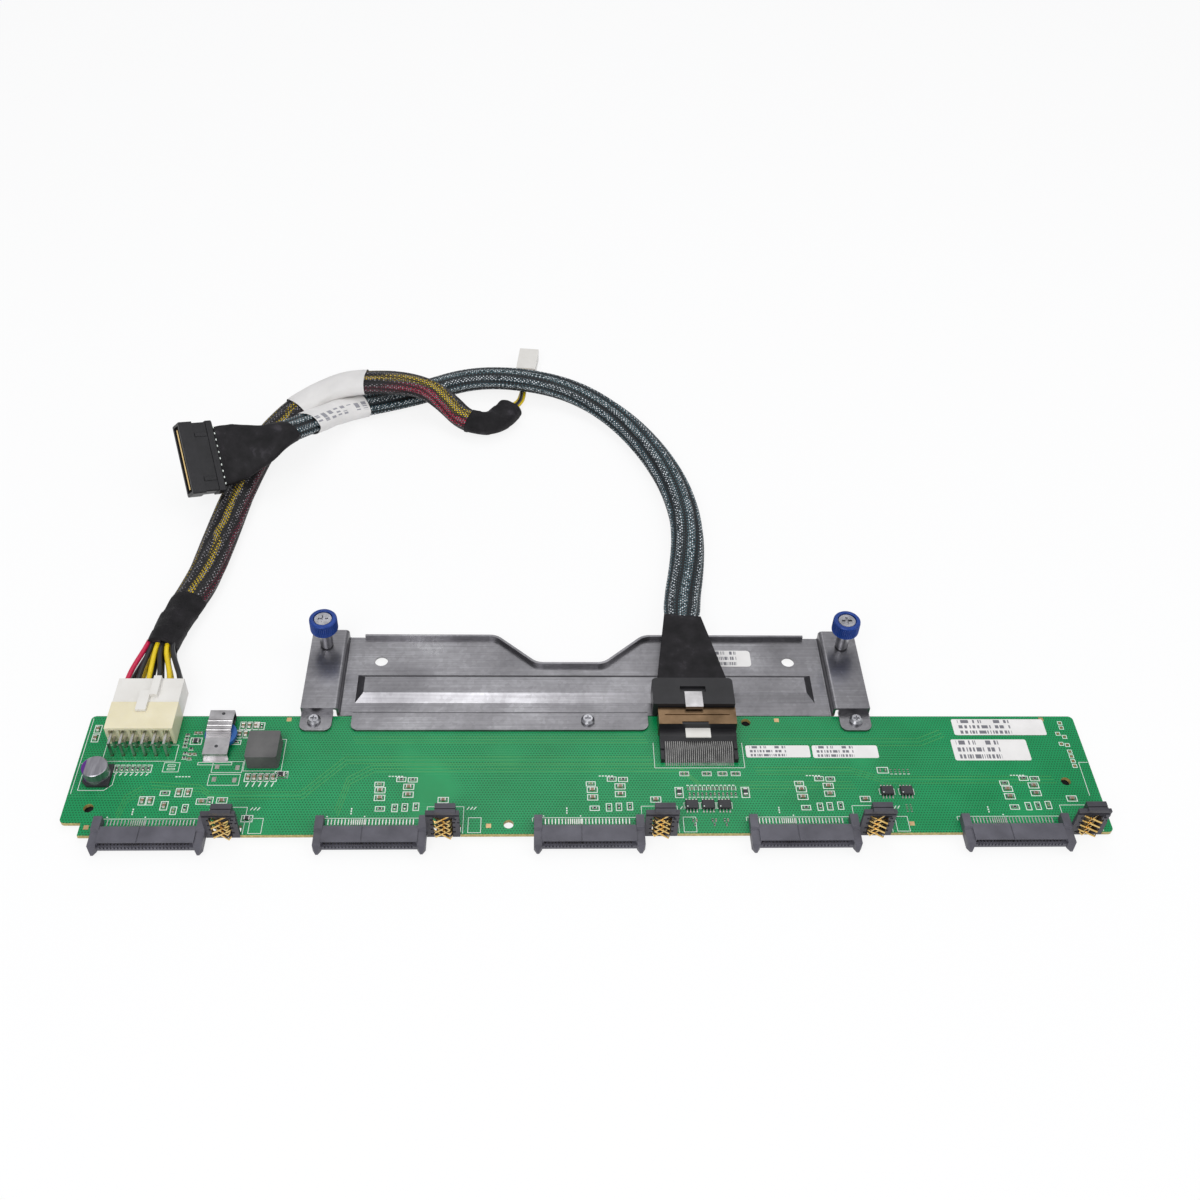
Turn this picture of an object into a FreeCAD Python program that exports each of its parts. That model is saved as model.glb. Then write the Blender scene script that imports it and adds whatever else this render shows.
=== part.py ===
import FreeCAD, Part
import math
import os
import re
import Sketcher

# A drive backplane board for a small server: a long circuit board with five drive sockets on its front edge,
# a carrier contact block beside each, a power lead and a data lead plugged in at the back, and a folded
# bracket with two captive thumbscrews. Millimetres. Every piece is drawn with X from the board's left edge,
# Y from its front edge and Z from its top face, and seat() moves it to the model's own frame: origin in the
# middle of the board and bracket, on the surface they rest on.
SIZES = {
    # circuit board
    "board_width": 397.0,
    "board_depth": 57.2,
    "board_thickness": 1.6,
    "board_lift": 1.2,
    "board_corner": 2.0,
    "grid": 1.0,
    "step_width": 8.0,
    "step_depth": 5.6,
    "fixing_hole_radius": 1.9,
    "seat_gap": 0.1,
    "edge_gap": 0.3,
    # drive bays
    "bay_count": 5,
    "bay_margin": 4.68,
    # drive socket
    "socket_left": 13.6,
    "socket_width": 41.4,
    "socket_nose": 8.2,
    "socket_face": 6.2,
    "socket_back": 1.8,
    "socket_height": 3.3,
    "lip_drop": 0.6,
    "lip_reach": 0.9,
    "tooth_count": 26,
    "tooth_gap": 0.6,
    "tooth_depth": 0.5,
    "tooth_height": 0.9,
    "arm_width": 3.1,
    "arm_back": 6.2,
    "arm_height": 3.7,
    "arm_step": 0.4,
    "arm_shoulder": 6.6,
    "arm_front_height": 2.6,
    "arm_drop": 0.9,
    "arm_tip_height": 0.1,
    "arm_point": 1.1,
    "arm_point_length": 1.76,
    "slot_floor": 1.2,
    "slot_height": 1.6,
    "slot_depth": 5.0,
    "slot_wall": 0.5,
    "groove_left": 31.1,
    "groove_width": 0.5,
    "groove_depth": 0.3,
    # drive socket contacts
    "contact_pitch": 1.27,
    "small_contact_pitch": 0.8,
    "contact_width": 0.4,
    "contact_thickness": 0.2,
    "signal_start": 17.87,
    "signal_count": 7,
    "power_start": 31.84,
    "power_count": 15,
    "foot_end": 6.8,
    "foot_bend": 4.3,
    "foot_rise": 0.4,
    "beam_reach": 5.3,
    # carrier contact block
    "block_left": 55.0,
    "block_width": 12.4,
    "block_depth": 4.2,
    "block_height": 13.8,
    "block_face": 1.5,
    "block_body_left": 58.4,
    "block_body_width": 7.6,
    "block_shoulder": 13.1,
    "recess_left": 57.6,
    "recess_width": 7.2,
    "recess_top": 10.8,
    "recess_bottom": 0.7,
    "recess_depth": 3.0,
    "line_height": 0.5,
    "line_depth": 0.7,
    "slab_groove": 0.4,
    "slab_groove_depth": 1.5,
    "louvre_width": 1.1,
    "louvre_height": 0.9,
    "louvre_pitch": 1.9,
    "louvre_columns": 2,
    "louvre_rows": 2,
    "louvre_bottom": 6.9,
    # carrier spring contacts
    "spring_level": 0.4,
    "spring_pitch": 2.9,
    "spring_stagger": 1.2,
    "spring_count": 4,
    "spring_height": 0.9,
    "spring_thickness": 0.25,
    "spring_reach": 2.4,
    "spring_seat": 1.35,
    "spring_grip": 1.0,
    "spring_tip_inset": 0.9,
    "spring_hook": 0.7,
    # power socket
    "pin_start": 12.4,
    "pin_pitch": 4.2,
    "pin_columns": 6,
    "pin_width": 0.9,
    "pin_hole_radius": 0.72,
    "lower_pin_height": 2.85,
    "upper_pin_foot": 37.6,
    "lower_pin_foot": 41.8,
    "pin_end": 53.5,
    "header_margin": 2.5,
    "header_front": 43.0,
    "header_back": 56.5,
    "header_bottom": 0.3,
    "header_height": 9.3,
    "header_wall": 1.2,
    "header_floor": 2.8,
    "header_recess": 1.2,
    "header_rib": 1.1,
    # power plug
    "plug_gap": 0.15,
    "plug_length": 12.4,
    "plug_nose_gap": 0.8,
    "plug_latch_left": 20.2,
    "plug_latch_width": 4.0,
    "plug_latch_front": 51.5,
    "plug_latch_back": 61.5,
    "plug_latch_thickness": 1.3,
    "plug_rib_width": 3.0,
    "plug_rib_front": 59.0,
    "plug_rib_height": 1.7,
    # data socket
    "data_left": 225.4,
    "data_width": 31.2,
    "data_front": 41.8,
    "data_back": 55.7,
    "data_shoulder_back": 47.2,
    "data_shoulder_height": 4.2,
    "data_shoulder_slope": 1.6,
    "data_height": 7.1,
    "data_mouth_wall": 2.2,
    "data_mouth_bottom": 2.7,
    "data_mouth_height": 2.6,
    "data_mouth_depth": 7.0,
    "shell_thickness": 0.3,
    "shell_rib_width": 26.0,
    "shell_rib_depth": 0.7,
    "shell_rib_back": 52.6,
    "shell_notch_width": 10.6,
    "shell_notch_depth": 1.2,
    "cheek_width": 1.4,
    "cheek_front": 33.4,
    "cheek_height": 2.4,
    "cheek_step": 3.6,
    "leg_pitch": 0.8,
    "leg_count": 34,
    "leg_width": 0.35,
    "leg_front": 31.8,
    "leg_knee": 33.0,
    "leg_shoulder": 37.6,
    "leg_height": 3.0,
    "short_leg_front": 36.2,
    "short_leg_height": 1.6,
    "pad_left": 236.0,
    "pad_width": 10.0,
    "pad_front": 42.6,
    "pad_thickness": 0.5,
    # data plug
    "data_plug_left": 223.5,
    "data_plug_width": 33.0,
    "data_plug_front": 56.0,
    "data_plug_back": 70.0,
    "data_plug_bottom": 2.4,
    "data_plug_height": 6.8,
    "data_nose_gap": 0.2,
    "latch_left": 236.4,
    "latch_width": 7.1,
    "latch_front": 54.2,
    "latch_back": 62.3,
    "latch_thickness": 0.4,
    "well_width": 10.4,
    "well_back": 65.4,
    "well_depth": 1.2,
    "boot_front_width": 28.3,
    "boot_front_height": 6.2,
    "boot_back_width": 15.6,
    "boot_back_height": 9.0,
    # bracket
    "sheet": 1.0,
    "bend": 0.6,
    "bracket_left": 82.5,
    "bracket_width": 230.0,
    "bracket_front": 58.0,
    "bracket_back": 101.2,
    "wing_width": 14.0,
    "wing_height": 4.1,
    "tab_front": 49.1,
    "tab_width": 12.6,
    "tab_corner": 3.0,
    "strip_left": 102.8,
    "strip_gap": 3.7,
    "strip_front": 49.3,
    "flange_left": 104.0,
    "flange_right": 291.0,
    "flange_height": 1.5,
    "notch_middle": 190.7,
    "notch_top": 62.4,
    "notch_bottom": 28.0,
    "notch_depth": 15.7,
    "notch_corner": 7.0,
    "notch_inset": 0.45,
    "rib_left": 103.0,
    "rib_width": 188.4,
    "rib_front": 64.7,
    "rib_depth": 15.1,
    "rib_slope": 3.3,
    "rib_height": 2.7,
    "plate_hole_radius": 2.7,
    "plate_hole_y": 87.7,
    "plate_hole_left": 111.7,
    "plate_hole_spacing": 171.5,
    # bracket screws
    "screw_y": 53.9,
    "left_screw_x": 88.0,
    "middle_screw_x": 197.4,
    "right_screw_x": 306.4,
    "screw_radius": 1.45,
    "screw_hole_radius": 1.6,
    "screw_head_radius": 2.7,
    "screw_head_height": 1.9,
    "screw_crown_radius": 1.89,
    "drive_radius": 1.2,
    "drive_depth": 1.0,
    # thumbscrews
    "left_thumb_x": 89.1,
    "right_thumb_x": 306.0,
    "thumb_y": 92.5,
    "ferrule_hole_radius": 2.1,
    "ferrule_bore": 1.3,
    "ferrule_radius": 2.7,
    "ferrule_wall": 0.45,
    "ferrule_floor": 1.2,
    "ferrule_neck": 0.8,
    "ferrule_height": 10.1,
    "knob_radius": 5.7,
    "knob_bottom": 13.7,
    "knob_height": 6.5,
    "knob_cavity_radius": 3.0,
    "knob_roof": 3.9,
    "knob_rim": 0.6,
    "knob_recess_radius": 3.9,
    "knob_recess_depth": 1.0,
    "thumb_head_radius": 3.5,
    "thumb_head_height": 2.2,
    "thumb_drive_radius": 2.1,
    "thumb_neck_radius": 1.1,
    "thumb_thread_radius": 1.45,
    "thumb_thread_length": 3.2,
    "thumb_thread_top": 2.9,
    "coil_radius": 1.85,
    "coil_wire": 0.2,
    # parts on the board
    "choke_left": 65.0,
    "choke_front": 30.9,
    "choke_width": 12.2,
    "choke_depth": 13.2,
    "choke_height": 7.0,
    "choke_chamfer": 0.6,
    "can_x": 9.4,
    "can_y": 27.1,
    "can_radius": 4.9,
    "can_waist": 4.55,
    "can_height": 6.6,
    "can_base": 10.3,
    "can_base_height": 1.2,
    "fuse_left": 47.6,
    "fuse_width": 9.6,
    "fuse_front": 35.4,
    "fuse_back": 56.2,
    "fuse_core_x": 53.0,
    "fuse_core_y": 45.9,
    "fuse_core_radius": 6.2,
    "fuse_core_bottom": 1.3,
    "fuse_core_height": 1.6,
    "strap": 0.3,
    "fuse_plate_back": 44.5,
    "fuse_foot": 1.4,
    "fuse_fold_front": 46.4,
    "fuse_fold_top": 4.9,
    "fuse_lip_bottom": 3.5,
    "chip_length": 2.0,
    "chip_width": 1.25,
    "chip_height": 0.8,
    "resistor_length": 1.6,
    "resistor_width": 0.8,
    "resistor_height": 0.5,
    "soic_body_width": 4.9,
    "soic_body_depth": 3.9,
    "soic_height": 1.5,
    "soic_span": 6.0,
    "soic_foot": 0.5,
    "soic_leg_width": 0.4,
    "soic_leg_pitch": 1.27,
    "soic_leg_count": 4,
    "soic_leg_knee": 0.7,
    # leads
    "lead_diameter": 12.0,
    "end_wire_diameter": 4.0,
    "wire_diameter": 2.2,
    "wire_gather": 2.35,
    "end_plug_length": 18.0,
    "end_plug_width": 10.0,
    "end_plug_height": 6.5,
    "far_plug_width": 34.0,
    "far_plug_height": 8.0,
    "far_mouth_depth": 9.0,
    "plug_wall": 1.4,
    "card_inset": 1.0,
    "card_thickness": 1.6,
}

doc = FreeCAD.newDocument("DriveBackplane")
sheet = doc.addObject("Spreadsheet::Sheet", "Sizes")
for row, (name, number) in enumerate(SIZES.items(), 1):
    sheet.set("A%d" % row, name)
    sheet.set("B%d" % row, str(number))
    sheet.setAlias("B%d" % row, name)
doc.recompute()

MIDDLE_X = "board_width / 2"
MIDDLE_Y = "(bracket_back - socket_nose) / 2"
TABLE = "-(board_thickness + board_lift)"
BLOCK_RIGHT = "block_left + block_width"
BAY_X = "%d * (board_width - bay_margin - block_left - block_width) / (bay_count - 1)"
COIL_TURNS = 7
COIL_STEPS = 9
COIL_SIDES = 5
NODES = []


def ref(text):
    """An expression with each size name pointed at its cell in the sheet."""
    return re.sub(r"[a-z]\w+", lambda word: "Sizes." + word.group(0), str(text))


def value(text):
    """The number that an expression gives now."""
    return float(sheet.evalExpression(str(text)))


def seat(item, label, x="0", y="0", z="0"):
    """Name a finished piece and move it from the board's corner to the model's frame."""
    item.Label = label
    item.setExpression("Placement.Base.x", ref("%s - %s" % (x, MIDDLE_X)))
    item.setExpression("Placement.Base.y", ref("%s - %s" % (y, MIDDLE_Y)))
    item.setExpression("Placement.Base.z", ref("%s - (%s)" % (z, TABLE)))
    NODES.append(item)
    return item


def body(label):
    return doc.addObject("PartDesign::Body", label)


def datum(item, role):
    return next(feature for feature in item.Origin.OriginFeatures if feature.Role == role)


def tie(drawing, kind, where, text):
    """Add a dimension to a sketch and bind it to the sheet."""
    index = drawing.addConstraint(Sketcher.Constraint(kind, *where, value(text)))
    drawing.setExpression("Constraints[%d]" % index, ref(text))


def draw_polygon(drawing, points):
    first = drawing.GeometryCount
    corners = [FreeCAD.Vector(value(x), value(y), 0) for x, y in points]
    for index, corner in enumerate(corners):
        drawing.addGeometry(Part.LineSegment(corner, corners[(index + 1) % len(corners)]), False)
    for index in range(len(corners)):
        following = first + (index + 1) % len(corners)
        drawing.addConstraint(Sketcher.Constraint("Coincident", first + index, 2, following, 1))
    for index, (x, y) in enumerate(points):
        tie(drawing, "DistanceX", (-1, 1, first + index, 1), x)
        tie(drawing, "DistanceY", (-1, 1, first + index, 1), y)


def draw_circle(drawing, x, y, radius):
    centre = FreeCAD.Vector(value(x), value(y), 0)
    index = drawing.addGeometry(Part.Circle(centre, FreeCAD.Vector(0, 0, 1), value(radius)), False)
    tie(drawing, "DistanceX", (-1, 1, index, 3), x)
    tie(drawing, "DistanceY", (-1, 1, index, 3), y)
    tie(drawing, "Radius", (index,), radius)


def sketch(item, role, outlines, level="0"):
    """A sketch on one of the body's origin planes, moved along the plane's normal to a level."""
    drawing = item.newObject("Sketcher::SketchObject", "Outline")
    drawing.AttachmentSupport = [(datum(item, role), "")]
    drawing.MapMode = "FlatFace"
    drawing.setExpression("AttachmentOffset.Base.z", ref(level))
    for outline in outlines:
        if len(outline) == 3 and isinstance(outline[0], str):
            draw_circle(drawing, *outline)
        else:
            draw_polygon(drawing, outline)
    return drawing


def extrude(item, kind, role, outlines, start, end):
    """Pad or pocket outlines from start to end along the axis that the origin plane faces."""
    level = "-(%s)" % end if role == "XZ_Plane" else start
    drawing = sketch(item, role, outlines, level)
    feature = item.newObject("PartDesign::" + kind, kind)
    feature.Profile = drawing
    feature.Reversed = kind == "Pocket"
    feature.setExpression("Length", ref("(%s) - (%s)" % (end, start)))
    return feature


def pad(item, role, outlines, start, end):
    return extrude(item, "Pad", role, outlines, start, end)


def pocket(item, role, outlines, start, end):
    return extrude(item, "Pocket", role, outlines, start, end)


def rectangle(left, front, width, depth):
    right = "%s + %s" % (left, width)
    back = "%s + %s" % (front, depth)
    return [(left, front), (right, front), (right, back), (left, back)]


def spin(item, points, kind="Revolution"):
    """Turn a half section, drawn as radius and height, about the body's upright axis."""
    feature = item.newObject("PartDesign::" + kind, kind)
    feature.Profile = sketch(item, "XZ_Plane", [points])
    feature.ReferenceAxis = (datum(item, "Z_Axis"), [""])
    feature.Angle = 360
    return feature


def repeat(item, feature, role, count, pitch):
    """Repeat a pad or pocket along an axis of the body."""
    pattern = item.newObject("PartDesign::LinearPattern", "Repeat")
    pattern.Originals = [feature]
    pattern.Direction = (datum(item, role), [""])
    pattern.setExpression("Occurrences", ref(count))
    pattern.setExpression("Length", ref("(%s - 1) * (%s)" % (count, pitch)))
    item.Tip = pattern
    return pattern


def dress(item, kind, size, axis, spots):
    """Fillet or chamfer the straight edges along an axis that pass through the given spots."""
    doc.recompute()
    shape = item.Tip.Shape
    across = [other for other in "xyz" if other != axis]
    wanted = [[value(text) for text in spot] for spot in spots]
    names = []
    for number, edge in enumerate(shape.Edges, 1):
        ends = [vertex.Point for vertex in edge.Vertexes]
        if len(ends) < 2 or any(abs(getattr(ends[0], a) - getattr(ends[1], a)) > 1e-4 for a in across):
            continue
        place = [getattr(ends[0], a) for a in across]
        if any(math.dist(place, spot) < 1e-3 for spot in wanted):
            names.append("Edge%d" % number)
    base = item.Tip
    feature = item.newObject("PartDesign::" + kind, kind)
    feature.Base = (base, names)
    feature.setExpression("Radius" if kind == "Fillet" else "Size", ref(size))
    return feature


def make_board():
    item = body("board")
    outline = [("step_width", "0")]
    for bay in range(int(value("bay_count"))):
        left = "%s + block_left - seat_gap" % (BAY_X % bay)
        right = "%s + %s + seat_gap" % (BAY_X % bay, BLOCK_RIGHT)
        inner = "block_depth + seat_gap"
        outline += [(left, "0"), (left, inner), (right, inner), (right, "0")]
    outline += [("board_width", "0"), ("board_width", "board_depth"), ("0", "board_depth")]
    outline += [("0", "step_depth"), ("step_width", "step_depth")]
    pad(item, "XY_Plane", [outline], "-board_thickness", "0")
    corners = [("board_width", "0"), ("board_width", "board_depth"), ("0", "board_depth"), ("0", "step_depth")]
    dress(item, "Fillet", "board_corner", "z", corners)
    holes = [(x, y, "fixing_hole_radius") for x, y in BOARD_HOLES]
    holes += [(x, "screw_y", "screw_hole_radius") for x in SCREW_PLACES]
    for column in range(int(value("pin_columns"))):
        for foot in ("upper_pin_foot", "lower_pin_foot"):
            holes.append(("pin_start + %d * pin_pitch" % column, foot, "pin_hole_radius"))
    pocket(item, "XY_Plane", holes, "-board_thickness", "0")
    seat(item, "backplane_board")


# Fixing holes that are open, by their place on the board.
BOARD_HOLES = [("9.3 * grid", "12.4 * grid"), ("166.5 * grid", "4.5 * grid"), ("261.5 * grid", "53.9 * grid"),
               ("board_width - 11.9 * grid", "24.0 * grid")]
SCREW_PLACES = ["left_screw_x", "middle_screw_x", "right_screw_x"]


def make_drive_socket(bay):
    """A moulded socket: a body with a long slot over a toothed lip, between two guide arms with pointed ends
    that reach past the board's edge."""
    item = body("drive_socket")
    body_left = "socket_left + arm_width"
    body_width = "socket_width - 2 * arm_width"
    section = [
        ("-edge_gap", "0"), ("socket_back", "0"), ("socket_back", "socket_height"),
        ("lip_reach - socket_face", "socket_height"), ("lip_reach - socket_face", "slot_floor"),
        ("-socket_face", "slot_floor"), ("-socket_face", "-lip_drop"), ("-edge_gap", "-lip_drop"),
    ]
    pad(item, "YZ_Plane", [section], body_left, "socket_left + socket_width - arm_width")
    tooth = rectangle("signal_start", "-socket_face", "tooth_gap", "tooth_depth")
    first = pocket(item, "XY_Plane", [tooth], "slot_floor - tooth_height", "slot_floor")
    repeat(item, first, "X_Axis", "tooth_count", "contact_pitch")
    arm = [
        ("-edge_gap", "0"), ("arm_back", "0"), ("arm_back", "arm_height"), ("arm_step", "arm_height"),
        ("-arm_step", "arm_front_height"), ("-arm_shoulder", "arm_front_height"),
        ("-socket_nose", "arm_tip_height"), ("-socket_nose", "-arm_drop"), ("-edge_gap", "-arm_drop"),
    ]
    pad(item, "YZ_Plane", [arm], "socket_left", body_left)
    pad(item, "YZ_Plane", [arm], "socket_left + socket_width - arm_width", "socket_left + socket_width")
    for side, way in (("socket_left", "1"), ("socket_left + socket_width", "-1")):
        for edge, turn in ((side, way), ("%s + %s * arm_width" % (side, way), "-%s" % way if way == "1" else "1")):
            corner = [(edge, "-socket_nose"), ("%s + %s * arm_point" % (edge, turn), "-socket_nose"),
                      (edge, "arm_point_length - socket_nose")]
            pocket(item, "XY_Plane", [corner], "-arm_drop", "arm_front_height")
    slot_left = "%s + slot_wall" % body_left
    slot_width = "%s - 2 * slot_wall" % body_width
    slot = rectangle(slot_left, "-socket_face", slot_width, "slot_depth")
    pocket(item, "XY_Plane", [slot], "slot_floor", "slot_floor + slot_height")
    channel = rectangle(slot_left, "-socket_face", slot_width, "socket_face + socket_back")
    pocket(item, "XY_Plane", [channel], "slot_floor", "slot_floor + contact_thickness")
    groove = rectangle("groove_left", "-socket_face", "groove_width", "socket_face + socket_back")
    pocket(item, "XY_Plane", [groove], "socket_height - groove_depth", "socket_height")
    seat(item, "drive_socket_%d" % (bay + 1), BAY_X % bay)


def make_socket_contacts(bay):
    """Bent strips: a foot on the board, a slope up to the socket's back, and a beam along the slot's floor."""
    item = body("socket_contacts")
    strip = [
        ("foot_end", "0"), ("foot_end", "contact_thickness"),
        ("foot_bend + contact_thickness / 2", "contact_thickness"),
        ("socket_back + foot_rise + contact_thickness / 2", "slot_floor + contact_thickness"),
        ("-beam_reach", "slot_floor + contact_thickness"), ("-beam_reach", "slot_floor"),
        ("socket_back + foot_rise", "slot_floor"), ("foot_bend", "0"),
    ]
    rows = [
        ("signal_start", "signal_count", "contact_pitch"),
        ("signal_start + signal_count * contact_pitch - 0.5 * (contact_pitch - small_contact_pitch)",
         "signal_count", "small_contact_pitch"),
        ("power_start", "power_count", "contact_pitch"),
    ]
    for start, count, pitch in rows:
        left = "%s - contact_width / 2" % start
        first = pad(item, "YZ_Plane", [strip], left, "%s + contact_width" % left)
        repeat(item, first, "X_Axis", count, pitch)
    seat(item, "drive_socket_contacts_%d" % (bay + 1), BAY_X % bay)


def make_contact_block(bay):
    """A tall moulding in the board's cut-out: a wide front plate on a narrower body, with a recess for the
    spring contacts and slotted side walls that hold their roots."""
    item = body("contact_block")
    bottom = "-board_thickness"
    face = rectangle("block_left", "0", "block_width", "block_face")
    pad(item, "XY_Plane", [face], bottom, "block_shoulder")
    back = rectangle("block_body_left", "0", "block_body_width", "block_depth")
    pad(item, "XY_Plane", [back], bottom, "block_height")
    recess = rectangle("recess_left", "-recess_bottom", "recess_width", "recess_top + recess_bottom")
    pocket(item, "XZ_Plane", [recess], "0", "recess_depth")
    for level in ("block_shoulder - 3 * line_height", "recess_top + line_height / 2"):
        line = rectangle("block_left", level, "block_width", "line_height")
        pocket(item, "XZ_Plane", [line], "0", "line_depth")
    groove = rectangle("block_body_left", "block_face", "block_body_width", "slab_groove")
    pocket(item, "XY_Plane", [groove], "block_height - slab_groove_depth", "block_height")
    column = "recess_left + recess_width + spring_grip - louvre_width"
    for row in range(int(value("louvre_rows"))):
        floor = "louvre_bottom + %d * louvre_pitch" % row
        louvre = rectangle("%s + %d * louvre_width / 2" % (column, row), floor, "louvre_width", "louvre_height")
        first = pocket(item, "XZ_Plane", [louvre], "0", "line_depth")
        repeat(item, first, "X_Axis", "louvre_columns", "louvre_pitch")
    for side, stagger in (("recess_left - spring_grip", "0"),
                          ("recess_left + recess_width", "spring_stagger")):
        floor = "spring_level + %s - spring_height / 2" % stagger
        slat = rectangle(side, floor, "spring_grip", "spring_height")
        first = pocket(item, "XZ_Plane", [slat], "0", "spring_seat + spring_thickness")
        repeat(item, first, "Z_Axis", "spring_count", "spring_pitch")
    seat(item, "carrier_contact_block_%d" % (bay + 1), BAY_X % bay)


def make_spring_contacts(bay):
    """Two combs of bent strips that cross in front of the block: each is held in one side wall and carries
    its tip over to the other side."""
    item = body("spring_contacts")
    left_root = "recess_left - spring_grip"
    right_root = "recess_left + recess_width + spring_grip"
    combs = [(left_root, "1", "0"), (right_root, "-1", "spring_stagger")]
    for root, way, stagger in combs:
        wall = "%s + %s * spring_grip" % (root, way)
        tip = "%s + %s * (recess_width - spring_tip_inset)" % (wall, way)
        strip = [
            (root, "spring_seat"), (wall, "spring_seat"), (tip, "-spring_reach"),
            ("%s + %s * spring_hook" % (tip, way), "-spring_reach + 2 * spring_hook"),
            ("%s + %s * (spring_hook - spring_thickness)" % (tip, way), "-spring_reach + 2 * spring_hook"),
            ("%s - %s * spring_thickness / 4" % (tip, way), "-spring_reach + 1.6 * spring_thickness"),
            ("%s + %s * spring_thickness / 2" % (wall, way), "spring_seat + spring_thickness"),
            (root, "spring_seat + spring_thickness"),
        ]
        floor = "spring_level + %s - spring_height / 2" % stagger
        first = pad(item, "XY_Plane", [strip], floor, "%s + spring_height" % floor)
        repeat(item, first, "Z_Axis", "spring_count", "spring_pitch")
    seat(item, "carrier_spring_contacts_%d" % (bay + 1), BAY_X % bay)


HEADER_LEFT = "pin_start - header_margin"
HEADER_WIDTH = "(pin_columns - 1) * pin_pitch + 2 * header_margin"
PIN_LEVELS = ["lower_pin_height", "lower_pin_height + pin_pitch"]


def pin_rows(item, make, front, back, width):
    """Repeat a square pad or pocket for both rows of pins."""
    for level in PIN_LEVELS:
        left = "pin_start - (%s) / 2" % width
        hole = rectangle(left, "%s - (%s) / 2" % (level, width), width, width)
        first = make(item, "XZ_Plane", [hole], front, back)
        repeat(item, first, "X_Axis", "pin_columns", "pin_pitch")


def make_power_header():
    item = body("power_header")
    shell = rectangle(HEADER_LEFT, "header_bottom", HEADER_WIDTH, "header_height")
    pad(item, "XZ_Plane", [shell], "header_front", "header_back")
    cavity = rectangle("%s + header_wall" % HEADER_LEFT, "header_bottom + header_wall",
                       "%s - 2 * header_wall" % HEADER_WIDTH, "header_height - 2 * header_wall")
    pocket(item, "XZ_Plane", [cavity], "header_front + header_recess + header_floor", "header_back")
    recess = rectangle("%s + header_wall" % HEADER_LEFT, "header_bottom",
                       "%s - 2 * header_wall" % HEADER_WIDTH, "header_height - header_wall")
    pocket(item, "XZ_Plane", [recess], "header_front", "header_front + header_recess")
    rib = rectangle("pin_start + pin_pitch / 2 - header_rib / 2", "header_bottom",
                    "header_rib", "header_height - header_wall")
    first = pad(item, "XZ_Plane", [rib], "header_front + header_recess / 3", "header_front + header_recess")
    repeat(item, first, "X_Axis", "pin_columns - 1", "pin_pitch")
    pin_rows(item, pocket, "header_front + header_recess", "header_front + header_recess + header_floor",
             "pin_width")
    seat(item, "power_header")


def make_power_pins():
    """Square pins that run back through the socket's floor and turn down through the board."""
    item = body("power_pins")
    for level, foot in zip(PIN_LEVELS, ("lower_pin_foot", "upper_pin_foot")):
        front = "%s - pin_width / 2" % foot
        top = "%s + pin_width / 2" % level
        pin = [
            (front, TABLE), ("%s + pin_width" % front, TABLE), ("%s + pin_width" % front, "%s - pin_width" % top),
            ("pin_end", "%s - pin_width" % top), ("pin_end", top), (front, top),
        ]
        first = pad(item, "YZ_Plane", [pin], "pin_start - pin_width / 2", "pin_start + pin_width / 2")
        repeat(item, first, "X_Axis", "pin_columns", "pin_pitch")
    seat(item, "power_header_pins")


def make_power_plug():
    item = body("power_plug")
    outer = rectangle("%s + plug_gap" % HEADER_LEFT, "header_bottom + plug_gap",
                      "%s - 2 * plug_gap" % HEADER_WIDTH, "header_height - 2 * plug_gap")
    pad(item, "XZ_Plane", [outer], "header_back + plug_gap", "header_back + plug_length")
    inset = "header_wall + plug_gap"
    nose = rectangle("%s + %s" % (HEADER_LEFT, inset), "header_bottom + %s" % inset,
                     "%s - 2 * (%s)" % (HEADER_WIDTH, inset), "header_height - 2 * (%s)" % inset)
    nose_front = "header_front + header_recess + header_floor + plug_nose_gap"
    pad(item, "XZ_Plane", [nose], nose_front, "header_back + plug_gap")
    pin_rows(item, pocket, nose_front, "pin_end + plug_gap", "pin_width + 2 * plug_gap")
    top = "header_bottom + header_height"
    arm = [
        ("plug_latch_front", "%s + plug_gap" % top),
        ("header_back + plug_gap", "%s + plug_gap" % top), ("header_back + plug_gap", "%s - plug_gap" % top),
        ("plug_latch_back", "%s - plug_gap" % top), ("plug_latch_back", "%s + plug_latch_thickness" % top),
        ("plug_latch_front", "%s + plug_latch_thickness" % top),
    ]
    pad(item, "YZ_Plane", [arm], "plug_latch_left", "plug_latch_left + plug_latch_width")
    rib = rectangle("plug_latch_left + plug_latch_width", "plug_rib_front",
                    "plug_rib_width", "header_back + plug_length - plug_rib_front")
    pad(item, "XY_Plane", [rib], "%s - plug_gap" % top, "%s + plug_rib_height" % top)
    seat(item, "power_plug")


def make_data_socket():
    item = body("data_socket")
    core = rectangle("data_left + shell_thickness", "data_front", "data_width - 2 * shell_thickness",
                     "data_back - data_front")
    pad(item, "XY_Plane", [core], "0", "data_shoulder_height")
    dress(item, "Chamfer", "data_shoulder_slope", "x", [("data_front", "data_shoulder_height")])
    upper = rectangle("data_left + shell_thickness", "data_shoulder_back", "data_width - 2 * shell_thickness",
                      "data_back - data_shoulder_back")
    pad(item, "XY_Plane", [upper], "data_shoulder_height", "data_height")
    for left in ("data_left + shell_thickness", "data_left + data_width - shell_thickness - cheek_width"):
        step = "data_front - cheek_step"
        cheek = [("cheek_front", "0"), ("data_front", "0"), ("data_front", "leg_height"), (step, "leg_height"),
                 (step, "cheek_height"), ("cheek_front", "cheek_height")]
        pad(item, "YZ_Plane", [cheek], left, "%s + cheek_width" % left)
    mouth = rectangle("data_left + data_mouth_wall", "data_mouth_bottom", "data_width - 2 * data_mouth_wall",
                      "data_mouth_height")
    pocket(item, "XZ_Plane", [mouth], "data_back - data_mouth_depth", "data_back")
    seat(item, "data_header")


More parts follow.
